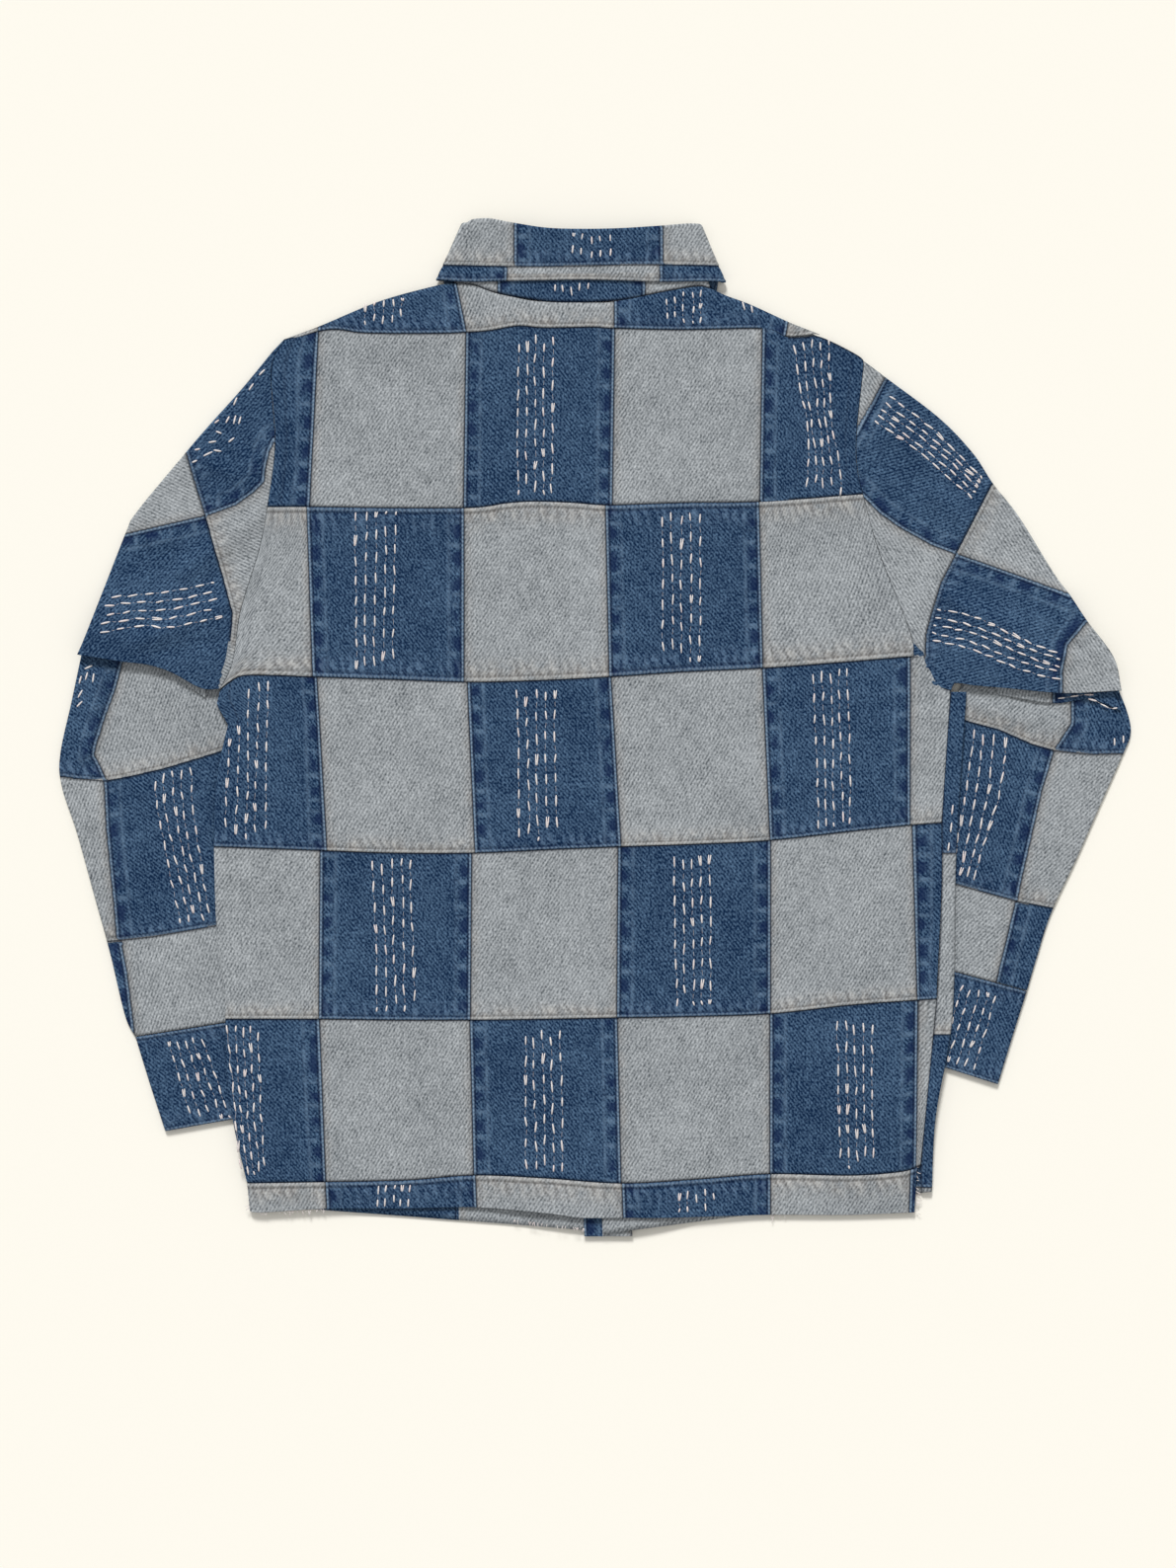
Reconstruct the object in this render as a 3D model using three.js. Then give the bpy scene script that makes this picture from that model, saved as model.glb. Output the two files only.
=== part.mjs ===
import * as THREE from 'three';

// A patchwork denim jacket with a shirt collar, laid flat on its front with the back up and the
// sleeves folded down at the elbows. Millimetres. +X is to the right of someone looking down at it,
// +Y points to the collar and +Z up. The origin is on the floor under the middle of the outline.

// Driving dimensions.
const CLOTH = 1.5; // one thickness of denim
const CUFF_CLOTH = 1.8; // cuffs are turned double and pressed
const AIR = 1.0; // between two layers of the body lying on each other
const SLEEVE_AIR = 0.5; // between the two layers of a forearm
const SEAM_GAP = 0.3; // between pieces sewn edge to edge
const CELLS = 4; // cells along one side of a patch
const SLIVER_CELLS = 2; // cells across a patch narrowed by the side seam
const FRONT_CELLS = 10; // cells across a front, from its button band to its side

const CENTRE_X = -8; // the body's middle, between its side edges
const COLLAR_X = -12; // the collar's middle
const NECK_Y = 262; // the front neckline at its lowest
const HEM_Y = -398; // the front hem at the button band
const BAND_SLANT = 22; // how far the button band runs to the right from neck to hem
const BAND_HALF = 19; // half the width of the button band
const OVERLAP_HALF = 4; // the right front ends this far beyond the band's middle
const BUTTON_RADIUS = 8.5;
const BUTTON_HEIGHT = 2;
const BUTTON_SIDES = 16;
const BUTTON_Y = [212, 78, -56, -190, -324];

const SIDE_LIFT = 4.4; // the body's sides lie on the tucked forearms
const ELBOW_LIFT = 1.9; // more above the pleat inside an elbow fold
const COLLAR_LIFT = 2.1; // the fronts lie on the collar's points
const BAND_LIFT = BUTTON_HEIGHT + SEAM_GAP; // the band lies on its buttons
const OVERLAP_LIFT = BAND_LIFT + CLOTH + SLEEVE_AIR; // the right front lies on the band
const PLEAT_CLOTH = 1.5; // the pleat's two layers pressed into one solid
const PLEAT_Z = 4.7; // the middle of the pleat, between forearm and upper sleeve

const INDIGO = 0x395070;
const PALE = 0x969b9e;
const BUTTON_COLOUR = 0x3b3a3c;

// The back's row seams, from the left side to the right: where each meets the column seams.
const ROW_A = [[-245, 308], [-219, 316], [-102, 313], [15, 316], [132, 316], [212, 290]];
const ROW_B = [[-259, 175], [-226, 175], [-104, 174], [11, 177], [130, 178], [211, 185]];
const ROW_C = [[-296, 31], [-223, 41], [-104, 37], [11, 41], [131, 48], [251, 57], [280, 30]];
const ROW_D = [[-301, -93], [-214, -96], [-97, -98], [20, -93], [138, -88], [249, -76], [273, -74]];
const ROW_E = [[-292, -229], [-218, -229], [-99, -230], [17, -228], [138, -225], [255, -214], [269, -213]];
const ROW_F = [[-275, -359], [-213, -358], [-96, -354], [20, -358], [138, -352], [252, -346], [256.5, -345]];
const BACK_HEM = [[-273, -379], [-212, -379], [-94, -379], [22, -386], [138, -385], [252, -382]];

// Edges of the back that are not straight.
const YOKE_LEFT_TOP = [[-216, 319], [-172, 337], [-129, 348.5], [-113, 351], [-102, 349]];
const YOKE_MIDDLE_TOP = [[-102, 349], [-80, 344], [-44, 337], [-2, 336], [15, 337]];
const YOKE_RIGHT_TOP = [[15, 337], [41, 343], [80, 349], [92, 347], [103, 342], [122, 335], [158, 319]];
const SHOULDER_END_RIGHT = [[132, 316], [165, 316], [178, 311], [212, 290]];
const ARMHOLE_LEFT_UPPER = [[-245, 308], [-256, 284], [-253, 225], [-259, 175]];
const ARMHOLE_LEFT_LOWER = [[-259, 175], [-266, 139], [-280, 93], [-286, 53], [-296, 31]];
const ARMHOLE_RIGHT_UPPER = [[212, 290], [206, 232], [207, 203], [211, 185]];
const ARMHOLE_RIGHT_LOWER = [[211, 185], [224, 139], [248, 76], [251, 57]];
const UNDERARM_RIGHT = [[251, 57], [262, 53], [270, 38], [280, 30]];
const SIDE_LEFT_D = [[-296, 31], [-290, 3], [-297, -28], [-301, -93]];
const SIDE_LEFT_E = [[-301, -93], [-299, -156], [-293, -206], [-292, -229]];
const SIDE_LEFT_F = [[-292, -229], [-291, -266], [-286, -310], [-275, -359]];
const SIDE_RIGHT_E = [[273, -74], [273, -126], [269, -213]];

// Outer edges of the fronts, which show past the back at the hem and along the right side.
const SIDE_LEFT_FRONT = [...SIDE_LEFT_D, ...SIDE_LEFT_E.slice(1), ...SIDE_LEFT_F.slice(1), [-272, -376]];
const SIDE_RIGHT_FRONT = [[292, 27], [284, -100], [281, -226], [268, -306], [265, -366]];
const NECK_LEFT_FRONT = [[-127, 345], [-112, 312], [-88, 284], [-52, 267], [-31, 262]];
const NECK_RIGHT_FRONT = [[100, 339], [88, 308], [64, 282], [30, 266], [-15, 260]];

// Outlines of the sleeves, outer edge and tucked inner edge, from the top down.
const UPPER_OUTER_LEFT = [[-256, 297], [-306, 239], [-362, 172], [-372, 153], [-401, 77], [-409, 58]];
const UPPER_OUTER_RIGHT = [[226, 280], [271, 246], [314, 194], [362, 123], [388, 85], [409, 56], [415, 30]];
const FOREARM_LEFT = [
  [[-406, 60], [-298, 60]], [[-414, 22], [-276, 22]], [[-423, -20], [-266, -8]],
  [[-422, -45], [-262, -30]], [[-410, -82], [-258, -62]], [[-397, -129], [-254, -100]],
  [[-384, -176], [-249, -148]], [[-372, -226], [-245, -204]], [[-364, -243], [-243, -224]],
];
const FOREARM_RIGHT = [
  [[411, 36], [300, 58]], [[420, 14], [286, 28]], [[423, -3], [276, 2]],
  [[417, -20], [268, -18]], [[400, -58], [262, -42]], [[381, -101], [256, -75]],
  [[360, -146], [244, -115]], [[349, -180], [232, -150]], [[341, -207], [226, -176]],
];
const CUFF_LEFT = [[[-363, -245], [-243, -226]], [[-352, -281], [-235, -262]], [[-340, -318], [-227, -298]]];
const CUFF_RIGHT = [[[340, -209], [226, -178]], [[329, -245], [218, -213]], [[318, -281], [211, -247]]];

// The collar, as pairs of points on its fold line and its free edge, from one front end to the other.
const FALL_FRONT_LEFT = [[[-14, 300], [-76, 226]], [[-54, 340], [-108, 280]], [[-88, 380], [-118, 335]]];
const FALL_BACK = [
  [[-98, 401], [-119, 353]], [[-68, 398], [-76, 353]], [[-40, 393], [-42, 353]],
  [[-12, 392], [-12, 353]], [[18, 393], [18, 352]], [[48, 395], [50, 352]], [[75, 397], [94, 353]],
];
const FALL_FRONT_RIGHT = [[[64, 380], [94, 335]], [[30, 340], [84, 280]], [[-10, 300], [52, 226]]];
const FALL_SIDES = [[[-101, 398], [-120, 354]], [[77.5, 397], [97, 354]]];
const STAND_FRONT_LEFT = [[[-15, 294], [-26, 264]], [[-54, 328], [-86, 287]], [[-84, 368], [-109, 316]]];
const STAND_BACK = [
  [[-92, 392], [-104, 351]], [[-66, 391], [-78, 346]], [[-40, 387], [-42, 338.5]],
  [[-12, 386], [-10, 337.5]], [[18, 387], [22, 340]], [[48, 389], [54, 347]], [[70, 391], [84, 351]],
];
const STAND_FRONT_RIGHT = [[[60, 368], [85, 312]], [[30, 328], [61, 285]], [[-9, 294], [-8, 264]]];
const STAND_SIDES = [[[-94, 391], [-110, 354]], [[72, 391], [89, 354]]];

/** 0 at `from`, 1 at `to` and a smooth slope between them, whichever of the two is larger. */
function ramp(value, from, to) {
  const share = THREE.MathUtils.clamp((value - from) / (to - from), 0, 1);
  return share * share * (3 - 2 * share);
}

const mix = (a, b, share) => a.map((value, axis) => value + (b[axis] - value) * share);

/** The point at a share of a polyline's length. */
function along(points, share) {
  const spans = points.slice(1).map((point, i) => Math.hypot(point[0] - points[i][0], point[1] - points[i][1]));
  let rest = share * spans.reduce((sum, span) => sum + span, 0);
  for (const [i, span] of spans.entries()) {
    if (rest <= span || i === spans.length - 1) {
      return mix(points[i], points[i + 1], Math.min(rest / span, 1));
    }
    rest -= span;
  }
}

const evenly = (count) => Array.from({ length: count + 1 }, (_, i) => i / count);

/** The point of a four-sided patch with polyline sides, at shares u across and v down. */
function insidePatch({ top, bottom, left, right }, u, v) {
  const acrossSides = mix(along(left, v), along(right, v), u);
  const acrossRows = mix(along(top, u), along(bottom, u), v);
  const corners = mix(mix(top[0], top.at(-1), u), mix(bottom[0], bottom.at(-1), u), v);
  return corners.map((value, axis) => acrossSides[axis] + acrossRows[axis] - value);
}

// Heights.

const bandX = (y) => COLLAR_X + (BAND_SLANT * (NECK_Y - y)) / (NECK_Y - HEM_Y);

/** How high the lowest layer lies: on the forearms, the elbow pleats or the collar's points. */
function lift(x, y) {
  const cuffEnd = x < 0 ? -322 : -288;
  const side = ramp(Math.abs(x - CENTRE_X), 140, 214) * ramp(y, 150, 70) * ramp(y, cuffEnd - 100, cuffEnd);
  const elbow = (x < 0 ? ramp(x, -290, -306) : ramp(x, 284, 300)) * ramp(y, 128, 72);
  const collar = ramp(y, 130, 218) * ramp(Math.abs(x - COLLAR_X), 205, 128);
  return Math.max(SIDE_LIFT * side + ELBOW_LIFT * elbow, COLLAR_LIFT * collar);
}

const frontLeftZ = (x, y) => CLOTH / 2 + Math.max(lift(x, y), BAND_LIFT * ramp(x, bandX(y) - 75, bandX(y) - 22));
const frontRightZ = (x, y) => CLOTH / 2 + Math.max(lift(x, y), OVERLAP_LIFT * ramp(x, bandX(y) + 95, bandX(y) + 20));

/** The middle of the back's cloth, which lies on the fronts. */
function backZ(x, y) {
  const overBand = OVERLAP_LIFT * ramp(Math.abs(x - bandX(y)), 122, 24);
  return CLOTH * 1.5 + AIR + Math.max(lift(x, y), overBand);
}

// Meshes.

/**
 * A cloth wall from a grid of { point, normal } on its middle surface. `loop` joins the last column
 * to the first, so that the wall is a tube with open ends.
 */
function wall(grid, thickness, loop = false) {
  const columns = grid[0].length;
  const offset = (side) => grid.flatMap((row) => row.map(({ point, normal }) => (
    point.map((value, axis) => value + (side * normal[axis] * thickness) / 2))));
  const positions = [...offset(1), ...offset(-1)].flat();
  const under = grid.length * columns;
  const index = [];
  const quad = (a, b, c, d) => index.push(a, b, c, a, c, d);
  const at = (row, column) => row * columns + (column % columns);
  const lastColumn = loop ? columns : columns - 1;
  const lastRow = grid.length - 1;
  for (let row = 0; row < lastRow; row += 1) {
    for (let column = 0; column < lastColumn; column += 1) {
      const face = [at(row, column), at(row + 1, column), at(row + 1, column + 1), at(row, column + 1)];
      quad(...face);
      quad(...face.toReversed().map((vertex) => vertex + under));
    }
    if (!loop) {
      quad(at(row, 0), at(row, 0) + under, at(row + 1, 0) + under, at(row + 1, 0));
      const [near, far] = [at(row, lastColumn), at(row + 1, lastColumn)];
      quad(near, far, far + under, near + under);
    }
  }
  for (let column = 0; column < lastColumn; column += 1) {
    quad(at(0, column), at(0, column + 1), at(0, column + 1) + under, at(0, column) + under);
    const [near, far] = [at(lastRow, column), at(lastRow, column + 1)];
    quad(near, near + under, far + under, far);
  }
  if (volume(positions, index) < 0) {
    index.reverse();
  }
  const geometry = new THREE.BufferGeometry();
  geometry.setAttribute('position', new THREE.Float32BufferAttribute(positions, 3));
  geometry.setIndex(index);
  geometry.computeVertexNormals();
  return geometry;
}

/** Signed volume of a closed mesh, above zero when its faces point out. */
function volume(positions, index) {
  const vertex = (i) => new THREE.Vector3(...positions.slice(index[i] * 3, index[i] * 3 + 3));
  let sum = 0;
  for (let i = 0; i < index.length; i += 3) {
    sum += vertex(i).dot(vertex(i + 1).cross(vertex(i + 2)));
  }
  return sum / 6;
}

/** A flat piece from rows of plan points, at the height that `heightAt` gives. */
function flatPiece(rows, heightAt, thickness = CLOTH) {
  const grid = rows.map((row) => row.map(([x, y]) => ({ point: [x, y, heightAt(x, y)], normal: [0, 0, 1] })));
  return wall(grid, thickness);
}

/** Half a turn of cloth from the upper layer to the lower, pointing along `outward` in plan. */
function turn(middle, outward, lowZ, highZ, steps) {
  const radius = (highZ - lowZ) / 2;
  return evenly(steps).slice(1, -1).map((share) => {
    const angle = Math.PI * (0.5 - share);
    const [sine, cosine] = [Math.sin(angle), Math.cos(angle)];
    return {
      point: [middle[0] + outward[0] * cosine * radius, middle[1] + outward[1] * cosine * radius,
        (lowZ + highZ) / 2 + radius * sine],
      normal: [outward[0] * cosine, outward[1] * cosine, sine],
    };
  });
}

/** Two layers of a flattened sleeve between its outer and inner edge, turned over at one or both. */
function sleeveSection({ outer, inner, bow = 0, thickness, air, closed, liftAt }) {
  const length = Math.hypot(outer[0] - inner[0], outer[1] - inner[1]);
  const outward = [(outer[0] - inner[0]) / length, (outer[1] - inner[1]) / length];
  const edge = (thickness * 2 + air) / 2;
  const outerTurn = mix(outer, inner, edge / length);
  const innerTurn = closed ? mix(inner, outer, edge / length) : inner;
  const layer = evenly(6).map((share) => {
    const [x, y] = mix(innerTurn, outerTurn, share);
    return [x, y + bow * 4 * share * (1 - share)];
  });
  const highAt = ([x, y]) => liftAt(x, y) + thickness * 1.5 + air;
  const lowAt = ([x, y]) => liftAt(x, y) + thickness / 2;
  const high = layer.map((point) => ({ point: [...point, highAt(point)], normal: [0, 0, 1] }));
  const low = layer.toReversed().map((point) => ({ point: [...point, lowAt(point)], normal: [0, 0, -1] }));
  const outerEnd = turn(outerTurn, outward, lowAt(outerTurn), highAt(outerTurn), 4);
  if (!closed) {
    return [...high, ...outerEnd, ...low];
  }
  const inward = outward.map((value) => -value);
  const innerEnd = turn(innerTurn, inward, lowAt(innerTurn), highAt(innerTurn), 4).toReversed();
  return [...high, ...outerEnd, ...low, ...innerEnd];
}

/** A closed tube through pairs of outer and inner edge points. */
function tube(pairs, thickness, air) {
  const sections = pairs.map(([outer, inner]) => (
    sleeveSection({ outer, inner, thickness, air, closed: true, liftAt: () => 0 })));
  return wall(sections, thickness, true);
}

const jacket = new THREE.Group();

function addPiece(name, geometry, color, roughness = 0.9) {
  const mesh = new THREE.Mesh(geometry, new THREE.MeshStandardMaterial({ color, roughness, metalness: 0 }));
  mesh.name = name;
  jacket.add(mesh);
  return mesh;
}

// The back: rows of patches, indigo and pale by turns.

function patchGeometry(sides, across) {
  const width = Math.hypot(sides.top.at(-1)[0] - sides.top[0][0], sides.top.at(-1)[1] - sides.top[0][1]);
  const depth = Math.abs(sides.left[0][1] - sides.left.at(-1)[1]) + SEAM_GAP;
  const inset = (share, size) => SEAM_GAP / 2 / size + share * (1 - SEAM_GAP / size);
  const rows = evenly(CELLS).map((v) => (
    evenly(across).map((u) => insidePatch(sides, inset(u, width), inset(v, depth)))));
  return flatPiece(rows, backZ);
}

/** One row between two row seams. `firstColumn` lines it up with the checker of the row above. */
function addBackRow(row, firstColumn, upper, lower, edges = {}) {
  const patches = Math.min(upper.length, lower.length) - 1;
  for (let i = 0; i < patches; i += 1) {
    const sides = {
      top: [upper[i], upper[i + 1]],
      bottom: [lower[i], lower[i + 1]],
      left: [upper[i], lower[i]],
      right: [upper[i + 1], lower[i + 1]],
      ...edges[i],
    };
    const column = firstColumn + i;
    const color = (row + column) % 2 === 1 ? INDIGO : PALE;
    const narrow = sides.top.at(-1)[0] - sides.top[0][0] < 45;
    addPiece(`back_row${row}_patch${column}`, patchGeometry(sides, narrow ? SLIVER_CELLS : CELLS), color);
  }
}

const YOKE_TOP = [[-216, 319], [-102, 349], [15, 337], [158, 319]];
const YOKE_BOTTOM = [[-216, 316], [-102, 313], [15, 316], [158, 316]];
addBackRow(0, 1, YOKE_TOP, YOKE_BOTTOM, {
  0: { top: YOKE_LEFT_TOP },
  1: { top: YOKE_MIDDLE_TOP },
  2: { top: YOKE_RIGHT_TOP },
});
addBackRow(1, 0, ROW_A, ROW_B, {
  0: { left: ARMHOLE_LEFT_UPPER },
  4: { top: SHOULDER_END_RIGHT, right: ARMHOLE_RIGHT_UPPER },
});
addBackRow(2, 0, ROW_B, ROW_C.slice(0, 6), { 0: { left: ARMHOLE_LEFT_LOWER }, 4: { right: ARMHOLE_RIGHT_LOWER } });
addBackRow(3, 0, ROW_C, ROW_D, { 0: { left: SIDE_LEFT_D }, 5: { top: UNDERARM_RIGHT } });
addBackRow(4, 0, ROW_D, ROW_E, { 0: { left: SIDE_LEFT_E }, 5: { right: SIDE_RIGHT_E } });
addBackRow(5, 0, ROW_E, ROW_F, { 0: { left: SIDE_LEFT_F } });
addBackRow(6, 0, ROW_F.slice(0, 6), BACK_HEM);

// The armholes, at the corners of the back's cells, so that the sleeves meet the back all the way.

const shares = evenly(CELLS);
const ARMHOLE_LEFT = [
  ...shares.map((share) => along(ARMHOLE_LEFT_UPPER, share)),
  ...shares.slice(1).map((share) => along(ARMHOLE_LEFT_LOWER, share)),
];
const ARMHOLE_RIGHT = [
  ...shares.map((share) => along(ARMHOLE_RIGHT_UPPER, share)),
  ...shares.slice(1).map((share) => along(ARMHOLE_RIGHT_LOWER, share)),
  ...evenly(SLIVER_CELLS).slice(1).map((share) => along(UNDERARM_RIGHT, share)),
];

// The fronts, under the back, each from its neckline and button band out to its armhole and side.

function addFront(name, { shoulder, armhole, side, neck, edgeX, hemY, neckRows, heightAt, color }) {
  const outer = [...shoulder, ...armhole, ...side];
  const innerTop = evenly(neckRows - 1).map((share) => along(neck, share));
  const edgeRows = outer.length - neckRows;
  const top = innerTop.at(-1)[1];
  const innerEdge = evenly(edgeRows).slice(1).map((share) => {
    const y = top + (hemY - top) * share;
    return [edgeX(y), y];
  });
  const inner = [...innerTop, ...innerEdge];
  const rows = outer.map((point, i) => evenly(FRONT_CELLS).map((share) => mix(inner[i], point, share)));
  return addPiece(name, flatPiece(rows, heightAt), color);
}

addFront('front_left', {
  shoulder: [[-132, 346], [-170, 335], [-208, 320]],
  armhole: ARMHOLE_LEFT,
  side: evenly(12).slice(1).map((share) => along(SIDE_LEFT_FRONT, share)),
  neck: NECK_LEFT_FRONT,
  neckRows: 5,
  edgeX: (y) => bandX(y) - BAND_HALF - SEAM_GAP,
  hemY: -396,
  heightAt: frontLeftZ,
  color: PALE,
});
addFront('front_right', {
  shoulder: [[106, 338], [140, 326], [176, 310]],
  armhole: ARMHOLE_RIGHT,
  side: evenly(12).map((share) => along(SIDE_RIGHT_FRONT, share)),
  neck: NECK_RIGHT_FRONT,
  neckRows: 5,
  edgeX: (y) => bandX(y) - OVERLAP_HALF,
  hemY: -399,
  heightAt: frontRightZ,
  color: PALE,
});

// The right front's side edge, which turns over onto the back as far as the side seam.
const SIDE_SEAM_RIGHT = [
  [280, 29],
  ...shares.slice(1).map((share) => mix(ROW_C.at(-1), ROW_D.at(-1), share)),
  ...shares.slice(1).map((share) => along(SIDE_RIGHT_E, share)),
  ...shares.slice(1).map((share) => mix(ROW_E.at(-1), ROW_F.at(-1), share)),
  [257, -366],
];
const turnedRows = SIDE_SEAM_RIGHT.map(([seamX, seamY]) => {
  const rise = SIDE_RIGHT_FRONT[0][1] - SIDE_RIGHT_FRONT.at(-1)[1];
  const outer = along(SIDE_RIGHT_FRONT, (SIDE_RIGHT_FRONT[0][1] - seamY) / rise);
  return [[seamX + SEAM_GAP * 2, seamY], outer];
});
addPiece('front_right_turned_edge', flatPiece(turnedRows, backZ), PALE);

// The button band of the left front, with plain buttons on the side that faces the floor.

const bandRows = evenly(14).map((share) => {
  const y = NECK_Y - 1 + (HEM_Y - 3 - NECK_Y + 1) * share;
  return evenly(2).map((across) => [bandX(y) + BAND_HALF * (across * 2 - 1), y]);
});
addPiece('button_band', flatPiece(bandRows, () => BAND_LIFT + CLOTH / 2), INDIGO);

const buttonProfile = [
  [0, BUTTON_HEIGHT], [BUTTON_RADIUS - 0.4, BUTTON_HEIGHT], [BUTTON_RADIUS, BUTTON_HEIGHT - 0.4],
  [BUTTON_RADIUS, 0.4], [BUTTON_RADIUS - 0.4, 0], [BUTTON_RADIUS - 2, 0], [BUTTON_RADIUS - 2.8, 0.5], [0, 0.5],
].map(([radius, z]) => new THREE.Vector2(radius, z)).toReversed();
for (const [i, y] of BUTTON_Y.entries()) {
  const button = addPiece(`button_${i + 1}`, new THREE.LatheGeometry(buttonProfile, BUTTON_SIDES), BUTTON_COLOUR, 0.4);
  button.rotation.x = Math.PI / 2;
  button.position.set(bandX(y), y, 0);
}

// The sleeves. The upper part is open along the armhole, where it meets the back and the front.

function addUpperSleeve(name, outline, armhole, outwardX, foldBow) {
  const sections = armhole.map(([x, y], i) => {
    const share = i / (armhole.length - 1);
    return sleeveSection({
      outer: along(outline, share),
      inner: [x + outwardX * SEAM_GAP * 1.5, y],
      bow: foldBow * ramp(share, 0.75, 1),
      thickness: CLOTH,
      air: AIR,
      closed: false,
      liftAt: lift,
    });
  });
  addPiece(name, wall(sections, CLOTH), INDIGO);
}

addUpperSleeve('sleeve_left_upper', UPPER_OUTER_LEFT, ARMHOLE_LEFT, -1, 5);
addUpperSleeve('sleeve_right_upper', UPPER_OUTER_RIGHT, ARMHOLE_RIGHT, 1, 0);

// The pleat inside each elbow fold: a wedge between the upper sleeve and the forearm, whose lower
// edge shows under the fold.

function addPleat(name, lower, upper) {
  const rows = [upper, lower].map((edge) => evenly(5).map((share) => along(edge, share)));
  addPiece(name, flatPiece(rows, () => PLEAT_Z, PLEAT_CLOTH), PALE);
}

addPleat('sleeve_left_pleat', [[-396, 54], [-345, 47], [-324, 36], [-308, 25]], [[-396, 56], [-350, 60], [-308, 64]]);
addPleat('sleeve_right_pleat', [[412, 15], [390, 23], [360, 20], [318, 27]], [[404, 44], [360, 58], [304, 62]]);

addPiece('sleeve_left_forearm', tube(FOREARM_LEFT, CLOTH, SLEEVE_AIR), PALE);
addPiece('sleeve_right_forearm', tube(FOREARM_RIGHT, CLOTH, SLEEVE_AIR), PALE);
addPiece('cuff_left', tube(CUFF_LEFT, CUFF_CLOTH, SLEEVE_AIR / 2), INDIGO);
addPiece('cuff_right', tube(CUFF_RIGHT, CUFF_CLOTH, SLEEVE_AIR / 2), INDIGO);

// The collar: a stand that is a ring around the neck, and the fall folded down over it. Each goes
// from one front end, on the floor side, around the back to the other.

/** Columns of the collar from fold line to free edge; `steps` cells between them. */
function collarColumn(pair, heightAt, normal, steps) {
  return evenly(steps).map((share) => {
    const [x, y] = mix(pair[0], pair[1], share);
    return { point: [x, y, heightAt(x, y)], normal };
  });
}

function collarTurn(pair, outward, lowAt, highAt, steps) {
  const rings = evenly(steps).map((share) => {
    const [x, y] = mix(pair[0], pair[1], share);
    return turn([x, y], [outward, 0], lowAt(x, y), highAt(x, y), 4);
  });
  return rings[0].map((_, i) => rings.map((ring) => ring[i]));
}

function collarRing({ frontLeft, back, frontRight, sides, lowAt, highAt }) {
  const steps = 3;
  const down = [0, 0, -1];
  const up = [0, 0, 1];
  return [
    ...frontLeft.map((pair) => collarColumn(pair, lowAt, down, steps)),
    ...collarTurn(sides[0], -1, lowAt, highAt, steps).toReversed(),
    ...back.map((pair) => collarColumn(pair, highAt, up, steps)),
    ...collarTurn(sides[1], 1, lowAt, highAt, steps),
    ...frontRight.map((pair) => collarColumn(pair, lowAt, down, steps)),
  ];
}

const standLow = (x, y) => (x < COLLAR_X ? frontLeftZ(x, Math.min(y, 300)) : frontRightZ(x, Math.min(y, 300)));
addPiece('collar_stand', wall(collarRing({
  frontLeft: STAND_FRONT_LEFT,
  back: STAND_BACK,
  frontRight: STAND_FRONT_RIGHT,
  sides: STAND_SIDES,
  lowAt: standLow,
  highAt: backZ,
}), CLOTH), PALE);
addPiece('collar_fall', wall(collarRing({
  frontLeft: FALL_FRONT_LEFT,
  back: FALL_BACK,
  frontRight: FALL_FRONT_RIGHT,
  sides: FALL_SIDES,
  lowAt: () => CLOTH / 2,
  highAt: (x, y) => backZ(x, y) + CLOTH + SLEEVE_AIR,
}), CLOTH), INDIGO);

export default jacket;
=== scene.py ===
"""A patchwork denim jacket laid flat on its front, back up, with hand running stitch.

All sizes here are millimetres in the frame of the CAD model; `make_mesh` turns them into metres.
"""
import math

import bpy
import numpy as np
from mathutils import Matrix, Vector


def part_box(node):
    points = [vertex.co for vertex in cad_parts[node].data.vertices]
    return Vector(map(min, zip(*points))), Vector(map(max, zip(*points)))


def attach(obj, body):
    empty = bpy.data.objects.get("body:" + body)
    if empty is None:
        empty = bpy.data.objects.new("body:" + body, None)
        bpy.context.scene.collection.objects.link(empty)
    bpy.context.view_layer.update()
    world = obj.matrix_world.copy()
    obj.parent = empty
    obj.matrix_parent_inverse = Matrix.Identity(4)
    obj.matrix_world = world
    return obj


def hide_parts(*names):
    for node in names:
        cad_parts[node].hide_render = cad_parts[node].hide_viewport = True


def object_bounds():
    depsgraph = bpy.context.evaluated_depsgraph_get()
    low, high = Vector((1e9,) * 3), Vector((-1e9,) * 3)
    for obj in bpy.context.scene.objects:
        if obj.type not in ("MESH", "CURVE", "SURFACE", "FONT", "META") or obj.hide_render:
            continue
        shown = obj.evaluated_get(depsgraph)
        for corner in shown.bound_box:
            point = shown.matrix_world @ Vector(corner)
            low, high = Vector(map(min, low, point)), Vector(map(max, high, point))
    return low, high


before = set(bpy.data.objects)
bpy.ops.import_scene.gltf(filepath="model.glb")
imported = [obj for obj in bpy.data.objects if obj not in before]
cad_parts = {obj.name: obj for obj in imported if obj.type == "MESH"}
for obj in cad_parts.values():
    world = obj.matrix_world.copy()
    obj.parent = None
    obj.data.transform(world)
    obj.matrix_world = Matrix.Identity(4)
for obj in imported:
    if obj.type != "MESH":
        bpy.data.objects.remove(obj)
cad_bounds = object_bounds()

MM = 0.001

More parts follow.
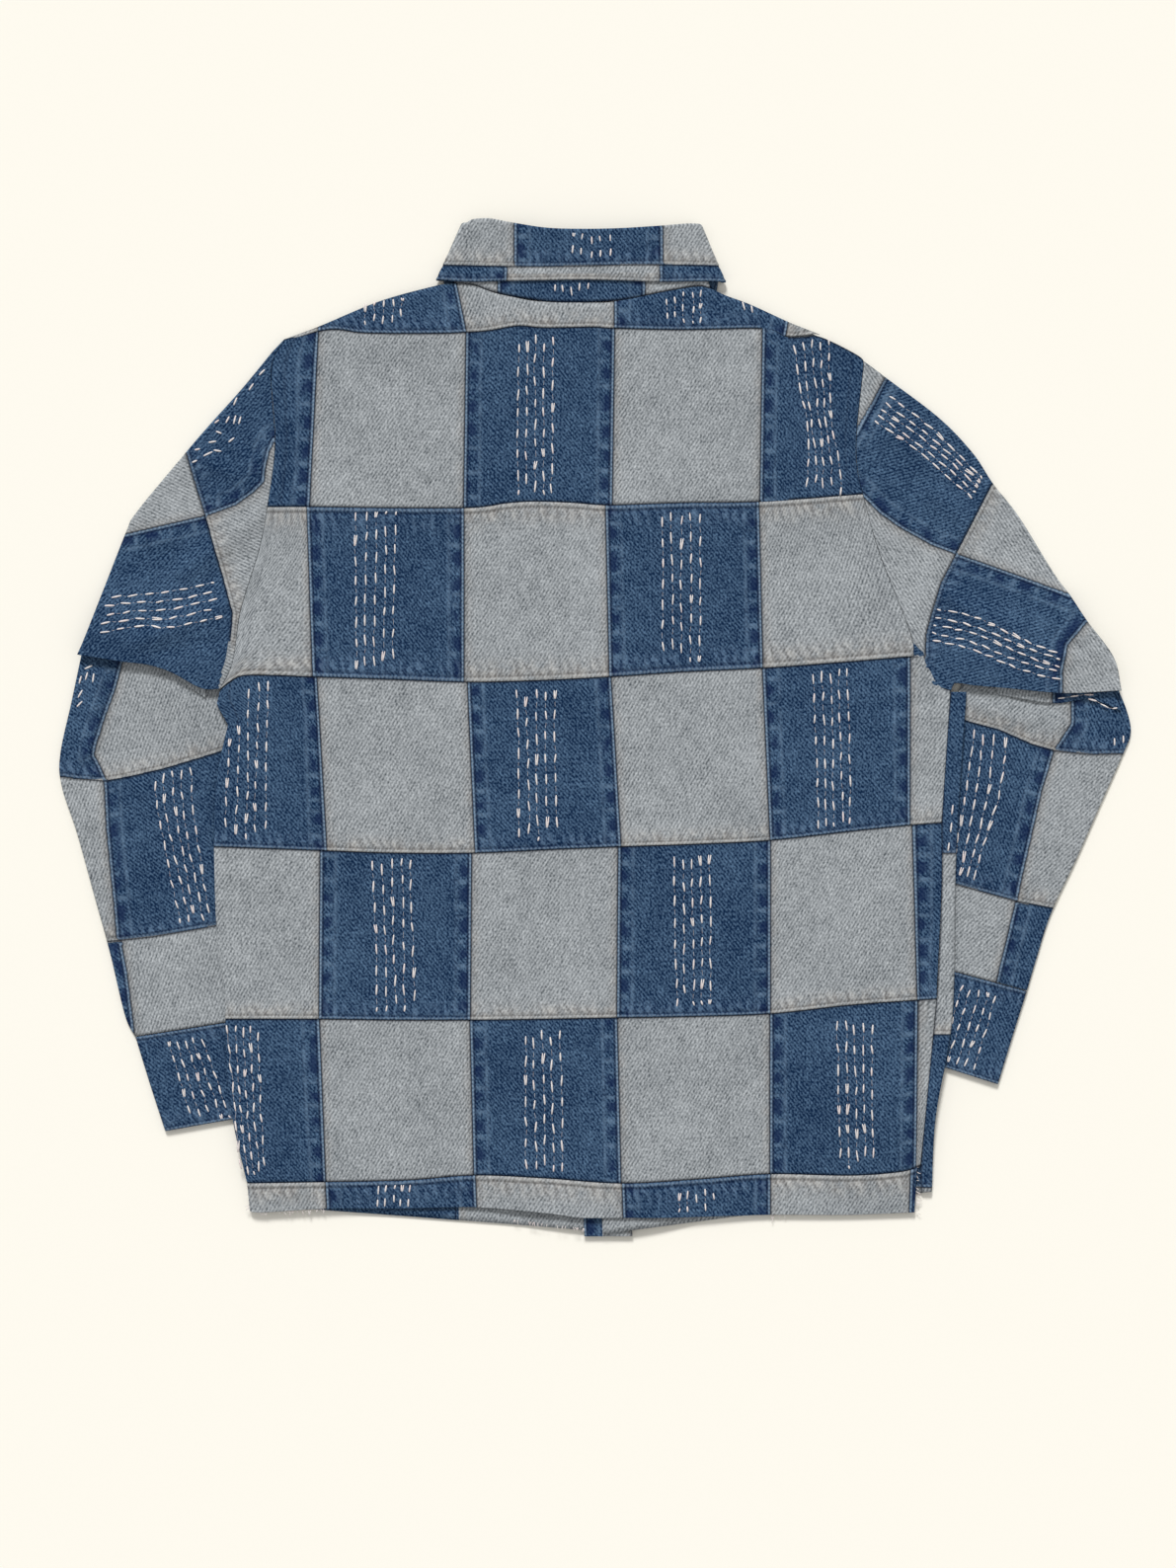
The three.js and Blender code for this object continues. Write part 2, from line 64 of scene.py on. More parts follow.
# The cloth and the layers, as in the construction.
CLOTH = 1.5
CUFF_CLOTH = 1.8
AIR = 1.0
SLEEVE_AIR = 0.5
CENTRE_X = -8
COLLAR_X = -12
NECK_Y = 262
HEM_Y = -398
BAND_SLANT = 22
BAND_HALF = 19
OVERLAP_HALF = 4
SIDE_LIFT = 4.4
ELBOW_LIFT = 1.9
COLLAR_LIFT = 2.1
LEFT_CUFF_END = -322
RIGHT_CUFF_END = -288
BAND_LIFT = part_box("button_band")[0].z / MM
OVERLAP_LIFT = BAND_LIFT + CLOTH + SLEEVE_AIR
PLEAT_Z = (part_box("sleeve_left_pleat")[0].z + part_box("sleeve_left_pleat")[1].z) / 2 / MM

# Row seams of the back, left to right, with the swellings between the column seams.
ROWS = {
    "top": [(-245, 308), (-218, 318), (-172, 337), (-129, 349), (-113, 351.5), (-97, 350), (-80, 344),
            (-67, 341), (-44, 337), (-2, 336), (15, 337), (41, 343), (80, 349), (92, 347), (103, 342),
            (122, 335), (153, 321), (178, 311), (208, 297), (212, 290)],
    "A": [(-246, 306), (-232, 310), (-219, 314), (-204, 315.5), (-180, 312.5), (-127, 312), (-102, 313),
          (-83, 314.5), (-61, 318), (-40, 316.5), (-2, 317), (15, 316), (70, 315), (132, 316), (150, 310),
          (165, 310.5), (178, 311), (208, 297), (213, 289)],
    "B": [(-260, 175), (-225, 175), (-160, 174), (-104, 174), (-84, 175.5), (-72, 177.5), (-50, 179),
          (-18, 178), (12, 176), (70, 178), (130, 179), (211, 185)],
    "C": [(-298, 29), (-287, 38), (-276, 42), (-250, 42), (-223, 41), (-160, 39), (-104, 37), (-50, 38),
          (11, 41), (70, 45), (132, 48), (200, 53), (251, 57), (260, 54.5), (268, 40), (274, 33),
          (281, 30)],
    "D": [(-302, -93), (-217, -96), (-160, -98), (-96, -98), (-30, -95), (20, -93), (80, -91), (138, -88),
          (200, -81), (248, -76), (274, -74)],
    "E": [(-293, -229), (-218, -229), (-160, -230), (-99, -230), (-40, -229), (17, -228), (80, -227),
          (138, -225), (200, -218), (255, -214), (270, -213)],
    "F": [(-276, -359), (-213, -358), (-150, -357), (-96, -353), (-40, -355), (20, -359), (80, -356),
          (138, -352), (202, -353), (242, -350), (257, -345)],
    "hem": [(-274, -379), (-266, -382), (-212, -379), (-150, -379), (-94, -378), (-34, -383), (-12, -386),
            (22, -386), (60, -386), (138, -384), (200, -384), (253, -382)],
}
# The back's outer edges, where they are not straight.
ARMHOLE_LEFT_UPPER = [(-245, 308), (-256, 284), (-253, 225), (-259, 175)]
ARMHOLE_LEFT_LOWER = [(-259, 175), (-266, 139), (-280, 93), (-286, 53), (-296, 31)]
ARMHOLE_RIGHT_UPPER = [(212, 290), (206, 232), (207, 203), (211, 185)]
ARMHOLE_RIGHT_LOWER = [(211, 185), (224, 139), (248, 76), (251, 57)]
SIDE_LEFT_D = [(-296, 31), (-299, 19), (-290, 3), (-296, -22), (-300, -50), (-301, -93)]
SIDE_LEFT_E = [(-301, -93), (-299, -156), (-293, -206), (-292, -229)]
SIDE_LEFT_F = [(-292, -229), (-291, -266), (-286, -310), (-275, -359)]
SIDE_RIGHT_E = [(273, -74), (273, -126), (269, -213)]
ARMHOLES = (ARMHOLE_LEFT_UPPER, ARMHOLE_LEFT_LOWER, ARMHOLE_RIGHT_UPPER, ARMHOLE_RIGHT_LOWER)
# For each row of patches: the seam above and below, the x of the patches' corners on each, and the
# left and right outer edge.
BACK_ROWS = [
    ("top", "A", (-244, -219, -110, 15, 152, 177), (-244, -219, -102, 15, 150, 177), None, None),
    ("A", "B", (-245, -219, -102, 15, 132, 212), (-259, -226, -104, 13, 130, 211),
     ARMHOLE_LEFT_UPPER, ARMHOLE_RIGHT_UPPER),
    ("B", "C", (-259, -228, -104, 8, 129, 211), (-296, -223, -104, 11, 132, 251),
     ARMHOLE_LEFT_LOWER, ARMHOLE_RIGHT_LOWER),
    ("C", "D", (-296, -220, -101, 12, 132, 248, 280), (-301, -212, -95, 20, 138, 248, 273),
     SIDE_LEFT_D, None),
    ("D", "E", (-301, -217, -98, 18, 138, 250, 273), (-292, -218, -99, 17, 138, 254, 269),
     SIDE_LEFT_E, SIDE_RIGHT_E),
    ("E", "F", (-292, -218, -99, 17, 138, 254, 269), (-275, -213, -96, 20, 138, 253, 256.5),
     SIDE_LEFT_F, None),
    ("F", "hem", (-275, -213, -95, 21, 138, 249, 254), (-273, -212, -94, 22, 138, 248, 252), None, None),
]
RIDGE_ON_UPPER = ("A", "C", "D", "E")  # the upper patch's edge is the folded one; else the lower's

SIDE_RIGHT_FRONT = [(292, 27), (284, -100), (281, -226), (268, -306), (265, -366)]
SIDE_LEFT_FRONT = SIDE_LEFT_D + SIDE_LEFT_E[1:] + SIDE_LEFT_F[1:] + [(-272, -376)]

FAR = 60.0  # the distance given where there is no seam
rng = np.random.RandomState(7)


# Shapes in plan.

def ramp(value, start, end):
    share = np.clip((value - start) / (end - start), 0, 1)
    return share * share * (3 - 2 * share)


def bell(distance, width):
    return np.exp(-(distance / width) ** 2)


def spline(points, per_span=16):
    """Points close together on a smooth curve through `points`."""
    p = np.array(points, float)
    if len(p) == 2:
        return p[0] + (p[1] - p[0]) * np.linspace(0, 1, per_span + 1)[:, None]
    padded = np.vstack([2 * p[0] - p[1], p, 2 * p[-1] - p[-2]])
    t = np.linspace(0, 1, per_span, endpoint=False)[:, None]
    spans = []
    for a, b, c, d in zip(padded, padded[1:], padded[2:], padded[3:]):
        spans.append(0.5 * (2 * b + (c - a) * t + (2 * a - 5 * b + 4 * c - d) * t ** 2
                            + (3 * b - a - 3 * c + d) * t ** 3))
    return np.vstack(spans + [p[-1:]])


def along(points, shares, smooth=True):
    """Points at shares of a line's length."""
    line = spline(points) if smooth else np.array(points, float)
    length = np.concatenate([[0], np.cumsum(np.linalg.norm(np.diff(line, axis=0), axis=1))])
    where = np.asarray(shares) * length[-1]
    return np.stack([np.interp(where, length, line[:, axis]) for axis in range(line.shape[1])], -1)


def evenly(points, count):
    return along(points, np.linspace(0, 1, count))


ROW_LINES = {name: spline(points, 8) for name, points in ROWS.items()}


def row_y(name, x):
    line = ROW_LINES[name]
    return np.interp(x, line[:, 0], line[:, 1])


def row_side(name, start, end, shares):
    x = start + (end - start) * shares
    return np.stack([x, row_y(name, x)], -1)


def columns_between(first, second, shares):
    """Points between two lines of points, with a column for each share."""
    return first[:, None] * (1 - shares)[None, :, None] + second[:, None] * shares[None, :, None]


def rows_between(first, second, shares):
    """Points between two lines of points, with a row for each share."""
    return first[None] * (1 - shares)[:, None, None] + second[None] * shares[:, None, None]


def coons(top, bottom, left, right, u, v):
    """Plan points inside four sides; sides are sampled at the shares u and v."""
    corners = rows_between(columns_between(top[:1], top[-1:], u)[0],
                           columns_between(bottom[:1], bottom[-1:], u)[0], v)
    return columns_between(left, right, u) + rows_between(top, bottom, v) - corners


def steps(length, edge, spacing):
    """Shares of a length, close together at both ends as `edge` says and `spacing` apart between."""
    edge = np.array([d for d in edge if d < length / 2 - 0.2])
    if length - 2 * edge[-1] < spacing:
        middle = [length / 2]
    else:
        count = max(int(round((length - 2 * edge[-1]) / spacing)), 1)
        middle = np.linspace(edge[-1], length - edge[-1], count + 1)[1:-1]
    return np.concatenate([edge, middle, (length - edge)[::-1]]) / length


# Heights.

def band_x(y):
    return COLLAR_X + BAND_SLANT * (NECK_Y - y) / (NECK_Y - HEM_Y)


def lift(x, y):
    """How high the lowest layer lies: on the forearms, the elbow pleats or the collar's points."""
    cuff_end = np.where(x < 0, LEFT_CUFF_END, RIGHT_CUFF_END)
    side = ramp(abs(x - CENTRE_X), 140, 214) * ramp(y, 150, 70) * ramp(y, cuff_end - 100, cuff_end)
    elbow = np.where(x < 0, ramp(x, -290, -306), ramp(x, 284, 300)) * ramp(y, 128, 72)
    collar = ramp(y, 130, 218) * ramp(abs(x - COLLAR_X), 205, 128)
    return np.maximum(SIDE_LIFT * side + ELBOW_LIFT * elbow, COLLAR_LIFT * collar)


def front_left_z(x, y):
    return CLOTH / 2 + np.maximum(lift(x, y), BAND_LIFT * ramp(x, band_x(y) - 75, band_x(y) - 22))


def front_right_z(x, y):
    return CLOTH / 2 + np.maximum(lift(x, y), OVERLAP_LIFT * ramp(x, band_x(y) + 95, band_x(y) + 20))


def back_z(x, y):
    over_band = OVERLAP_LIFT * ramp(abs(x - band_x(y)), 122, 24)
    return CLOTH * 1.5 + AIR + np.maximum(lift(x, y), over_band)


# Soft creases: x and y of the start and of the end, half width and height. Troughs have a height
# below zero.
BACK_CREASES = [
    (-262, 150, -236, -20, 11, 1.5), (-246, 120, -228, 10, 7, -0.9), (-280, 70, -262, -60, 9, 1.3),
    (-240, 250, -225, 190, 9, 0.8), (236, 120, 258, -30, 9, 1.5), (222, 100, 236, 10, 8, -0.8),
    (262, 20, 256, -150, 7, 1.2), (196, 270, 190, 170, 12, 1.0), (-72, 176, -66, 160, 3.0, 1.1),
    (-78, 174, -84, 150, 3.2, -0.6), (-150, 120, -120, -60, 30, 0.9), (60, 250, 40, 60, 34, 0.8),
    (150, -20, 120, -200, 30, 1.0), (-60, -120, -40, -300, 32, 0.8), (-250, -120, -235, -300, 18, 0.9),
    (190, -240, 180, -350, 22, 0.9), (-190, 300, -60, 322, 12, 0.9), (60, 322, 150, 300, 12, 0.9),
    (232, -120, 240, -330, 10, 1.0), (-262, 74, -246, 46, 4, 1.1), (-252, 92, -240, 52, 4, -0.8),
    (-274, 64, -264, 44, 3, 0.9), (-270, 132, -252, 84, 6, 1.2), (226, 120, 240, 64, 5, 1.1),
    (-262, 24, -256, -6, 4, 0.9), (-284, 26, -272, -6, 4, -1.0), (140, 40, 146, 12, 4, 0.8),
    (166, -108, 158, -92, 3.5, 1.0), (-226, -112, -210, -96, 4, 0.9), (-36, -108, -30, -130, 4, 0.7),
]
SLEEVE_CREASES = [
    # Left: from the underarm to the elbow's fold, and along the forearm.
    (-262, 170, -330, 120, 9, 2.0), (-270, 140, -345, 88, 8, -1.0), (-284, 100, -366, 66, 8, 2.0),
    (-292, 70, -350, 58, 6, -0.8), (-300, 250, -270, 205, 8, 1.6), (-292, 238, -268, 216, 5, -1.2),
    (-318, 214, -270, 196, 8, 1.4), (-392, 45, -402, -24, 7, 2.4), (-376, 40, -390, -25, 5, -0.9),
    (-340, 30, -300, -10, 16, 1.2), (-400, -60, -376, -150, 16, 1.2), (-330, -60, -310, -140, 18, 1.2),
    (-350, -180, -335, -235, 12, 0.9), (-362, -41, -357, -56, 3, 0.9), (-376, -43, -370, -62, 3.5, 0.8),
    (-318, 40, -300, 26, 4, -0.9), (-360, 148, -330, 150, 7, 0.9), (-300, 150, -280, 116, 6, 1.2),
    (-300, -170, -270, -190, 7, 0.8),
    # Right.
    (262, 190, 300, 160, 10, 1.6), (232, 240, 276, 200, 12, 1.3), (262, 110, 340, 72, 9, 1.8),
    (258, 86, 330, 52, 7, -0.9), (330, 66, 392, 52, 7, 1.6), (340, 130, 378, 92, 9, 1.3),
    (372, 80, 408, 48, 6, 1.3), (300, 20, 380, -2, 10, 1.2), (380, -30, 340, -130, 14, 1.3),
    (310, -30, 296, -110, 12, 1.2), (330, -150, 318, -196, 10, 0.9), (290, 22, 340, 4, 4, 0.9),
    (330, 26, 372, 10, 4, -0.8), (222, 178, 258, 148, 5, 1.0), (266, 136, 258, 96, 5, 1.1),
    (392, -4, 396, -40, 6, 0.9),
]


def creased(x, y, creases):
    """Height of all the creases at plan points."""
    height = np.zeros(np.shape(x))
    for start_x, start_y, end_x, end_y, width, size in creases:
        length = math.hypot(end_x - start_x, end_y - start_y)
        cosine, sine = (end_x - start_x) / length, (end_y - start_y) / length
        forward = (x - start_x) * cosine + (y - start_y) * sine
        aside = (y - start_y) * cosine - (x - start_x) * sine
        fade = ramp(forward, -width, width) * ramp(forward, length + width, length - width)
        height += size * fade * bell(aside, width)
    return height


def waved(x, y):
    """The even unrest of cloth that has been worn and laid down."""
    return (0.30 * np.sin(x / 43 + y / 71 + 0.6) * np.sin(y / 53 - x / 97)
            + 0.12 * np.sin(x / 17 + y / 29) * np.sin(y / 21 - x / 37 + 1.1))


def worn(height, x, y, creases):
    """A height with its creases and unrest."""
    return height + creased(x, y, creases) + waved(x, y)


def rounded(distance, radius):
    """How far a rounded edge has dropped at a distance from its end."""
    d = np.clip(distance, 0, radius)
    return radius - np.sqrt(radius ** 2 - (radius - d) ** 2)


# Seam shapes, by the distance to the seam. A ridge is the folded edge that lies on top, a tuck the
# edge that goes under it, and a column seam stands up on its indigo side only.

def ridge_shape(d):
    return (0.42 * bell(d - 1.3, 1.1) - 0.32 * bell(d - 3.1, 0.8)
            + 0.25 * bell(d - 5.5, 2.6) - 0.3 * bell(d, 0.4))


def tuck_shape(d):
    return -0.6 * bell(d, 1.3)


def column_shape(d, indigo):
    raised = 0.4 * bell(d - 0.9, 0.9) - 0.25 * bell(d - 2.5, 0.7) - 0.25 * bell(d, 0.35)
    return np.where(indigo, raised, -0.35 * bell(d, 0.9))


def puckers(position, d, size):
    """Small gathers that run away from a stitched row seam."""
    phase = position / 8.3 * 2 * np.pi + 2.6 * np.sin(position / 19) + 1.7 * np.sin(position / 43 + 2)
    strength = 0.35 + 0.65 * np.sin(position / 27 + 1.3) * np.sin(position / 11 + 0.4)
    return size * strength * np.cos(phase + 0.06 * d) * ramp(d, 2.0, 5.0) * bell(d, 9)


def turn(middle, outward, low, high, count):
    """Half a turn of cloth from an upper layer to a lower: points and normals between the two."""
    angles = np.pi * (0.5 - np.linspace(0, 1, count + 1)[1:-1])
    radius = (high - low) / 2
    reach = radius[:, None] * np.cos(angles)
    x = middle[:, None, 0] + outward[:, None, 0] * reach
    y = middle[:, None, 1] + outward[:, None, 1] * reach
    z = ((low + high) / 2)[:, None] + radius[:, None] * np.sin(angles)
    normal = np.stack([outward[:, None, 0] * np.cos(angles), outward[:, None, 1] * np.cos(angles),
                       np.broadcast_to(np.sin(angles), x.shape)], -1)
    return np.stack([x, y, z], -1), normal


# Meshes.

class Cloth:
    """Thin closed shells that are joined in one piece, with what their material needs at each point."""

    def __init__(self):
        self.points, self.faces, self.count = [], [], 0
        self.marks = {"cloth": [], "rows": [], "columns": []}

    def add(self, middle, normal, marks, thickness=CLOTH, loop=False):
        """A wall around a grid of middle points, with marks on the same grid."""
        rows, columns = middle.shape[:2]
        size = rows * columns
        offset = normal * (thickness / 2)
        self.points += [(middle + offset).reshape(-1, 3), (middle - offset).reshape(-1, 3)]
        for name, values in marks.items():
            flat = values.reshape(-1, 3)
            self.marks[name] += [flat, flat]
        index = np.arange(size).reshape(rows, columns) + self.count
        if loop:
            index = np.hstack([index, index[:, :1]])
        corners = [index[:-1, :-1], index[1:, :-1], index[1:, 1:], index[:-1, 1:]]
        quads = [np.stack(corners, -1).reshape(-1, 4)]
        quads.append(quads[0][:, ::-1] + size)
        rims = [index[0], index[-1][::-1]]
        if not loop:
            rims += [index[::-1, 0], index[:, -1]]
        for rim in rims:
            quads.append(np.stack([rim[:-1], rim[1:], rim[1:] + size, rim[:-1] + size], -1))
        quads = np.vstack(quads)
        if self._inside_out(quads):
            quads = quads[:, ::-1]
        self.faces.append(quads)
        self.count += 2 * size

    def _inside_out(self, quads):
        points = np.vstack(self.points[-2:])
        a, b, c, d = (points[quads[:, i] - self.count] for i in range(4))
        return np.sum(np.cross(a, b) * c + np.cross(a, c) * d) < 0

    def build(self, name, material, slot, *nodes):
        mesh = make_mesh(name, np.vstack(self.points), np.vstack(self.faces))
        for key, values in self.marks.items():
            layer = mesh.attributes.new(key, "FLOAT_VECTOR", "POINT")
            layer.data.foreach_set("vector", np.vstack(values).ravel())
        return place(name, mesh, material, slot, *nodes)


def sewn(node, slot, grid, thickness=CLOTH, loop=False):
    """A piece of one wall; `grid` has its middle points, normals and marks."""
    piece = Cloth()
    piece.add(*grid, thickness, loop)
    return piece.build(f"{node}_cloth", DENIM, slot, node)


def upward(points):
    return np.broadcast_to([0.0, 0.0, 1.0], points.shape)


def raised(plan, heights):
    """Plan points with their heights."""
    return np.concatenate([plan, np.broadcast_to(heights, plan.shape[:-1])[..., None]], -1)


def marks(x, y, seed, indigo, row=FAR, column=FAR, stitched=FAR, tone=None):
    """What the denim's material reads at each point.

    x, y and seed place the weave. `row` is the distance to a row seam, above zero on the folded
    edge and below on the cloth under it; `column` that to a column seam and `stitched` to a topstitch.
    `tone` is above zero where the indigo side shows.
    """
    sign = np.where(np.broadcast_to(indigo, np.shape(x)), 1.0, -1.0)
    given = (x, y, seed, row, column, stitched)
    x, y, seed, row, column, stitched = (np.broadcast_to(value, np.shape(x)) for value in given)
    if tone is None:
        tone = (np.minimum(abs(row), column) + 0.5) * sign
    return {"cloth": np.stack([x, y, seed], -1), "rows": np.stack([row, abs(row), tone], -1),
            "columns": np.stack([column * sign, column, stitched], -1)}


def nearer(ridge, tuck):
    """The two distances to row seams as one number."""
    return np.where(ridge <= tuck, ridge, -tuck)


def make_mesh(name, points, quads):
    mesh = bpy.data.meshes.new(name)
    mesh.vertices.add(len(points))
    mesh.vertices.foreach_set("co", (np.asarray(points, float) * MM).ravel())
    mesh.loops.add(quads.size)
    mesh.loops.foreach_set("vertex_index", quads.ravel().astype(np.int32))
    mesh.polygons.add(len(quads))
    mesh.polygons.foreach_set("loop_start", np.arange(0, quads.size, quads.shape[1], dtype=np.int32))
    mesh.polygons.foreach_set("use_smooth", np.ones(len(quads), bool))
    mesh.update(calc_edges=True)
    mesh.validate()
    return mesh


def linked(name, data):
    thing = bpy.data.objects.new(name, data)
    bpy.context.scene.collection.objects.link(thing)
    return thing


def place(name, mesh, material, slot, *nodes):
    piece = linked(name, mesh)
    mesh.materials.append(material)
    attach(piece, "root")
    if nodes:
        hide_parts(*nodes)
    return piece


# Materials.

def srgb(*values):
    """A shader's colour from the usual numbers up to 255."""
    return tuple(((c / 255 + 0.055) / 1.055) ** 2.4 for c in values) + (1,)


def feed(tree, slot, value):
    """Give a node's input a wire, a socket or a plain value."""
    if isinstance(value, Wire):
        value = value.socket
    if isinstance(value, bpy.types.NodeSocket):
        tree.links.new(value, slot)
    else:
        slot.default_value = value


class Wire:
    """A number socket in a node tree, so that a material reads as a formula."""

    def __init__(self, tree, socket):
        self.tree, self.socket = tree, socket

    def math(self, operation, *others, clamp=False):
        node = self.tree.nodes.new("ShaderNodeMath")
        node.operation = operation
        node.use_clamp = clamp
        for slot, value in zip(node.inputs, (self, *others)):
            feed(self.tree, slot, value)
        return Wire(self.tree, node.outputs[0])

    def __add__(self, other):
        return self.math("ADD", other)

    def __sub__(self, other):
        return self.math("SUBTRACT", other)

    def __mul__(self, other):
        return self.math("MULTIPLY", other)

    def clamped(self):
        return self.math("ADD", 0.0, clamp=True)

    def bell(self, centre, width):
        scaled = (self - centre) * (1 / width)
        return (scaled * scaled * -1.0).math("EXPONENT")

    def sine(self, period, phase=0.0):
        return (self * (2 * math.pi / period) + phase).math("SINE")

    def step(self, low, high):
        node = self.tree.nodes.new("ShaderNodeMapRange")
        node.interpolation_type = "SMOOTHSTEP"
        for slot, value in (("Value", self), ("From Min", low), ("From Max", high)):
            feed(self.tree, node.inputs[slot], value)
        return Wire(self.tree, node.outputs["Result"])


def split(tree, name):
    """The three numbers of a vector attribute."""
    attribute = tree.nodes.new("ShaderNodeAttribute")
    attribute.attribute_name = name
    node = tree.nodes.new("ShaderNodeSeparateXYZ")
    tree.links.new(attribute.outputs["Vector"], node.inputs[0])
    return [Wire(tree, socket) for socket in node.outputs]


def combined(tree, *values):
    node = tree.nodes.new("ShaderNodeCombineXYZ")
    for slot, value in zip(node.inputs, values):
        feed(tree, slot, value)
    return node.outputs[0]


def noise(tree, vector, scale, detail=2.0, dimensions="3D"):
    node = tree.nodes.new("ShaderNodeTexNoise")
    node.noise_dimensions = dimensions
    for slot, value in (("Vector", vector), ("Scale", scale), ("Detail", detail)):
        feed(tree, node.inputs[slot], value)
    return Wire(tree, node.outputs["Fac"])


def position_noise(tree, scale, detail):
    return noise(tree, tree.nodes.new("ShaderNodeNewGeometry").outputs["Position"], scale, detail)


def mixed(tree, share, first, second):
    """A colour between two; each is a socket or a colour."""
    node = tree.nodes.new("ShaderNodeMix")
    node.data_type = "RGBA"
    node.clamp_factor = True
    for slot, value in ((0, share), (6, first), (7, second)):
        feed(tree, node.inputs[slot], value)
    return node.outputs[2]


def new_material(name, roughness, sheen=0.0, specular=0.15):
    material = bpy.data.materials.new(name)
    material.use_nodes = True
    tree = material.node_tree
    shader = tree.nodes["Principled BSDF"]
    for slot, value in (("Roughness", roughness), ("Sheen Weight", sheen), ("Sheen Roughness", 0.6),
                        ("Specular IOR Level", specular)):
        shader.inputs[slot].default_value = value
    return material, tree, shader


def bump_up(tree, shader, height, depth, strength=1.0):
    """Bump from a wire; the depth is in millimetres."""
    bump = tree.nodes.new("ShaderNodeBump")
    for slot, value in (("Height", height), ("Distance", depth * MM), ("Strength", strength)):
        feed(tree, bump.inputs[slot], value)
    tree.links.new(bump.outputs[0], shader.inputs["Normal"])


def denim_material():
    """Twill in both faces: indigo where `tone` is above zero and its pale reverse below."""
    material, tree, shader = new_material("denim", 0.95, specular=0.05)
    across, up, seed = split(tree, "cloth")
    row, row_far, tone = split(tree, "rows")
    column, column_far, stitched = split(tree, "columns")
    indigo = tone.step(-0.12, 0.12)
    # A signed distance changes sign between two seams too; there it isn't small beside the plain one.
    at_row = (row_far - row.math("ABSOLUTE")).step(3.0, 1.5)
    column = column.math("ABSOLUTE") + (column_far - column.math("ABSOLUTE")).step(1.5, 3.0) * FAR
    folded = row.step(-0.3, 0.3) * at_row
    under_fold_shadow = row.step(0.3, -0.3) * at_row

    def cloth_noise(across_scale, up_scale, detail):
        spot = combined(tree, across * across_scale + seed * 31.7, up * up_scale + seed * 17.1)
        return noise(tree, spot, 1.0, detail, "2D") - 0.5

    def tint(colour, share, *over):
        """A colour laid over another as far as the share says."""
        return mixed(tree, share, colour, srgb(*over))

    wander = cloth_noise(0.55, 0.55, 2.0)
    grain = cloth_noise(0.62, 0.5, 1.0)
    slub = cloth_noise(0.5, 0.08, 2.0)
    mottle = cloth_noise(0.09, 0.09, 3.0)
    cloud = cloth_noise(0.018, 0.018, 2.0)

    # Face: steep left-leaning twill, dark with pale specks of weft.
    face_twill = (across * 0.77 + up * 0.64 + wander * 0.9).sine(2.45)
    face_light = face_twill * 0.16 + grain * 1.3 + slub * 0.35 + mottle * 0.3 + cloud * 0.3 + 0.27
    face = mixed(tree, face_light.clamped(), srgb(12, 37, 68), srgb(100, 130, 160))
    # Unworn and worn blotches beside the column seams.
    wave = up.sine(22, 0.8) + mottle * 6.0
    bars = (up + across * 0.1).sine(9.5) + mottle * 3.0
    unworn = (column.bell(5.0, 4.2) * wave.step(-0.1, 1.0) * 1.2).clamped()
    face = tint(face, unworn * 0.75, 18, 35, 72)
    worn_bars = column.bell(6.5, 4.6) * (wave * -1.0).step(0.0, 0.9) * bars.step(-0.4, 0.9)
    face = tint(face, worn_bars * 0.45, 116, 142, 168)
    face = tint(face, column.bell(12.0, 1.3) * (mottle + 0.24).clamped(), 112, 138, 164)
    # Streaks that run from the row seams: painted highlight and painted shade of the small gathers, and on
    # the indigo face also the wear on their crests.
    pucker = (across + up * 0.25 + wander * 3.0 + mottle * 14.0).sine(7.8)
    reach = row.bell(6.0, 6.0) * folded * (mottle * 3.2 + 0.7).clamped()
    high = (reach * pucker).clamped()
    low = (reach * pucker * -1.0).clamped()
    face = tint(face, high * 0.42, 112, 138, 166)
    face = tint(face, low * 0.45, 14, 28, 62)

    # Reverse: pale right-leaning twill.
    back_twill = (across * 0.84 - up * 0.54 + wander * 0.9).sine(2.5)
    back_light = back_twill * 0.14 + grain * 0.75 + slub * 0.3 + mottle * 0.22 + cloud * 0.2 + 0.37
    reverse = mixed(tree, back_light.clamped(), srgb(82, 88, 93), srgb(216, 221, 224))
    warm = row.bell(3.5, 7.0) * folded + column.bell(2.0, 4.0) * 0.6
    reverse = tint(reverse, (warm * (mottle * 2.0 + 0.5)).clamped() * 0.32, 158, 142, 124)
    # Painted highlight and painted shade of the same gathers on the pale reverse.
    reverse = tint(reverse, high * 0.3, 214, 215, 212)
    reverse = tint(reverse, low * 0.36, 84, 84, 86)

    # Stitched lines and folded edges.
    dots_up = (up + wander * 0.4).sine(3.2) * 0.5 + 0.5
    dots_across = (across + wander * 0.4).sine(3.2) * 0.5 + 0.5
    face = tint(face, column.bell(0.9, 0.7) * (dots_up * 0.6 + 0.4) * 0.8, 146, 168, 188)
    # Painted shade in the stitched groove beside a column seam on the indigo side.
    face = tint(face, column.bell(2.6, 0.7) * (dots_up * 0.4 + 0.5), 14, 24, 50)
    reverse = tint(reverse, column.bell(0.0, 1.2) * 0.95, 30, 34, 46)
    # Painted shade along the stitched line beside a column seam on the pale side.
    reverse = tint(reverse, column.bell(2.8, 0.6) * dots_up * 0.4, 84, 88, 94)
    fold = row.bell(1.2, 0.7) * folded
    face = tint(face, fold * (dots_across * 0.7 + 0.2) * 0.6, 140, 160, 180)
    reverse = tint(reverse, fold * (mottle * 1.5 + 0.5).clamped() * 0.4, 200, 200, 196)
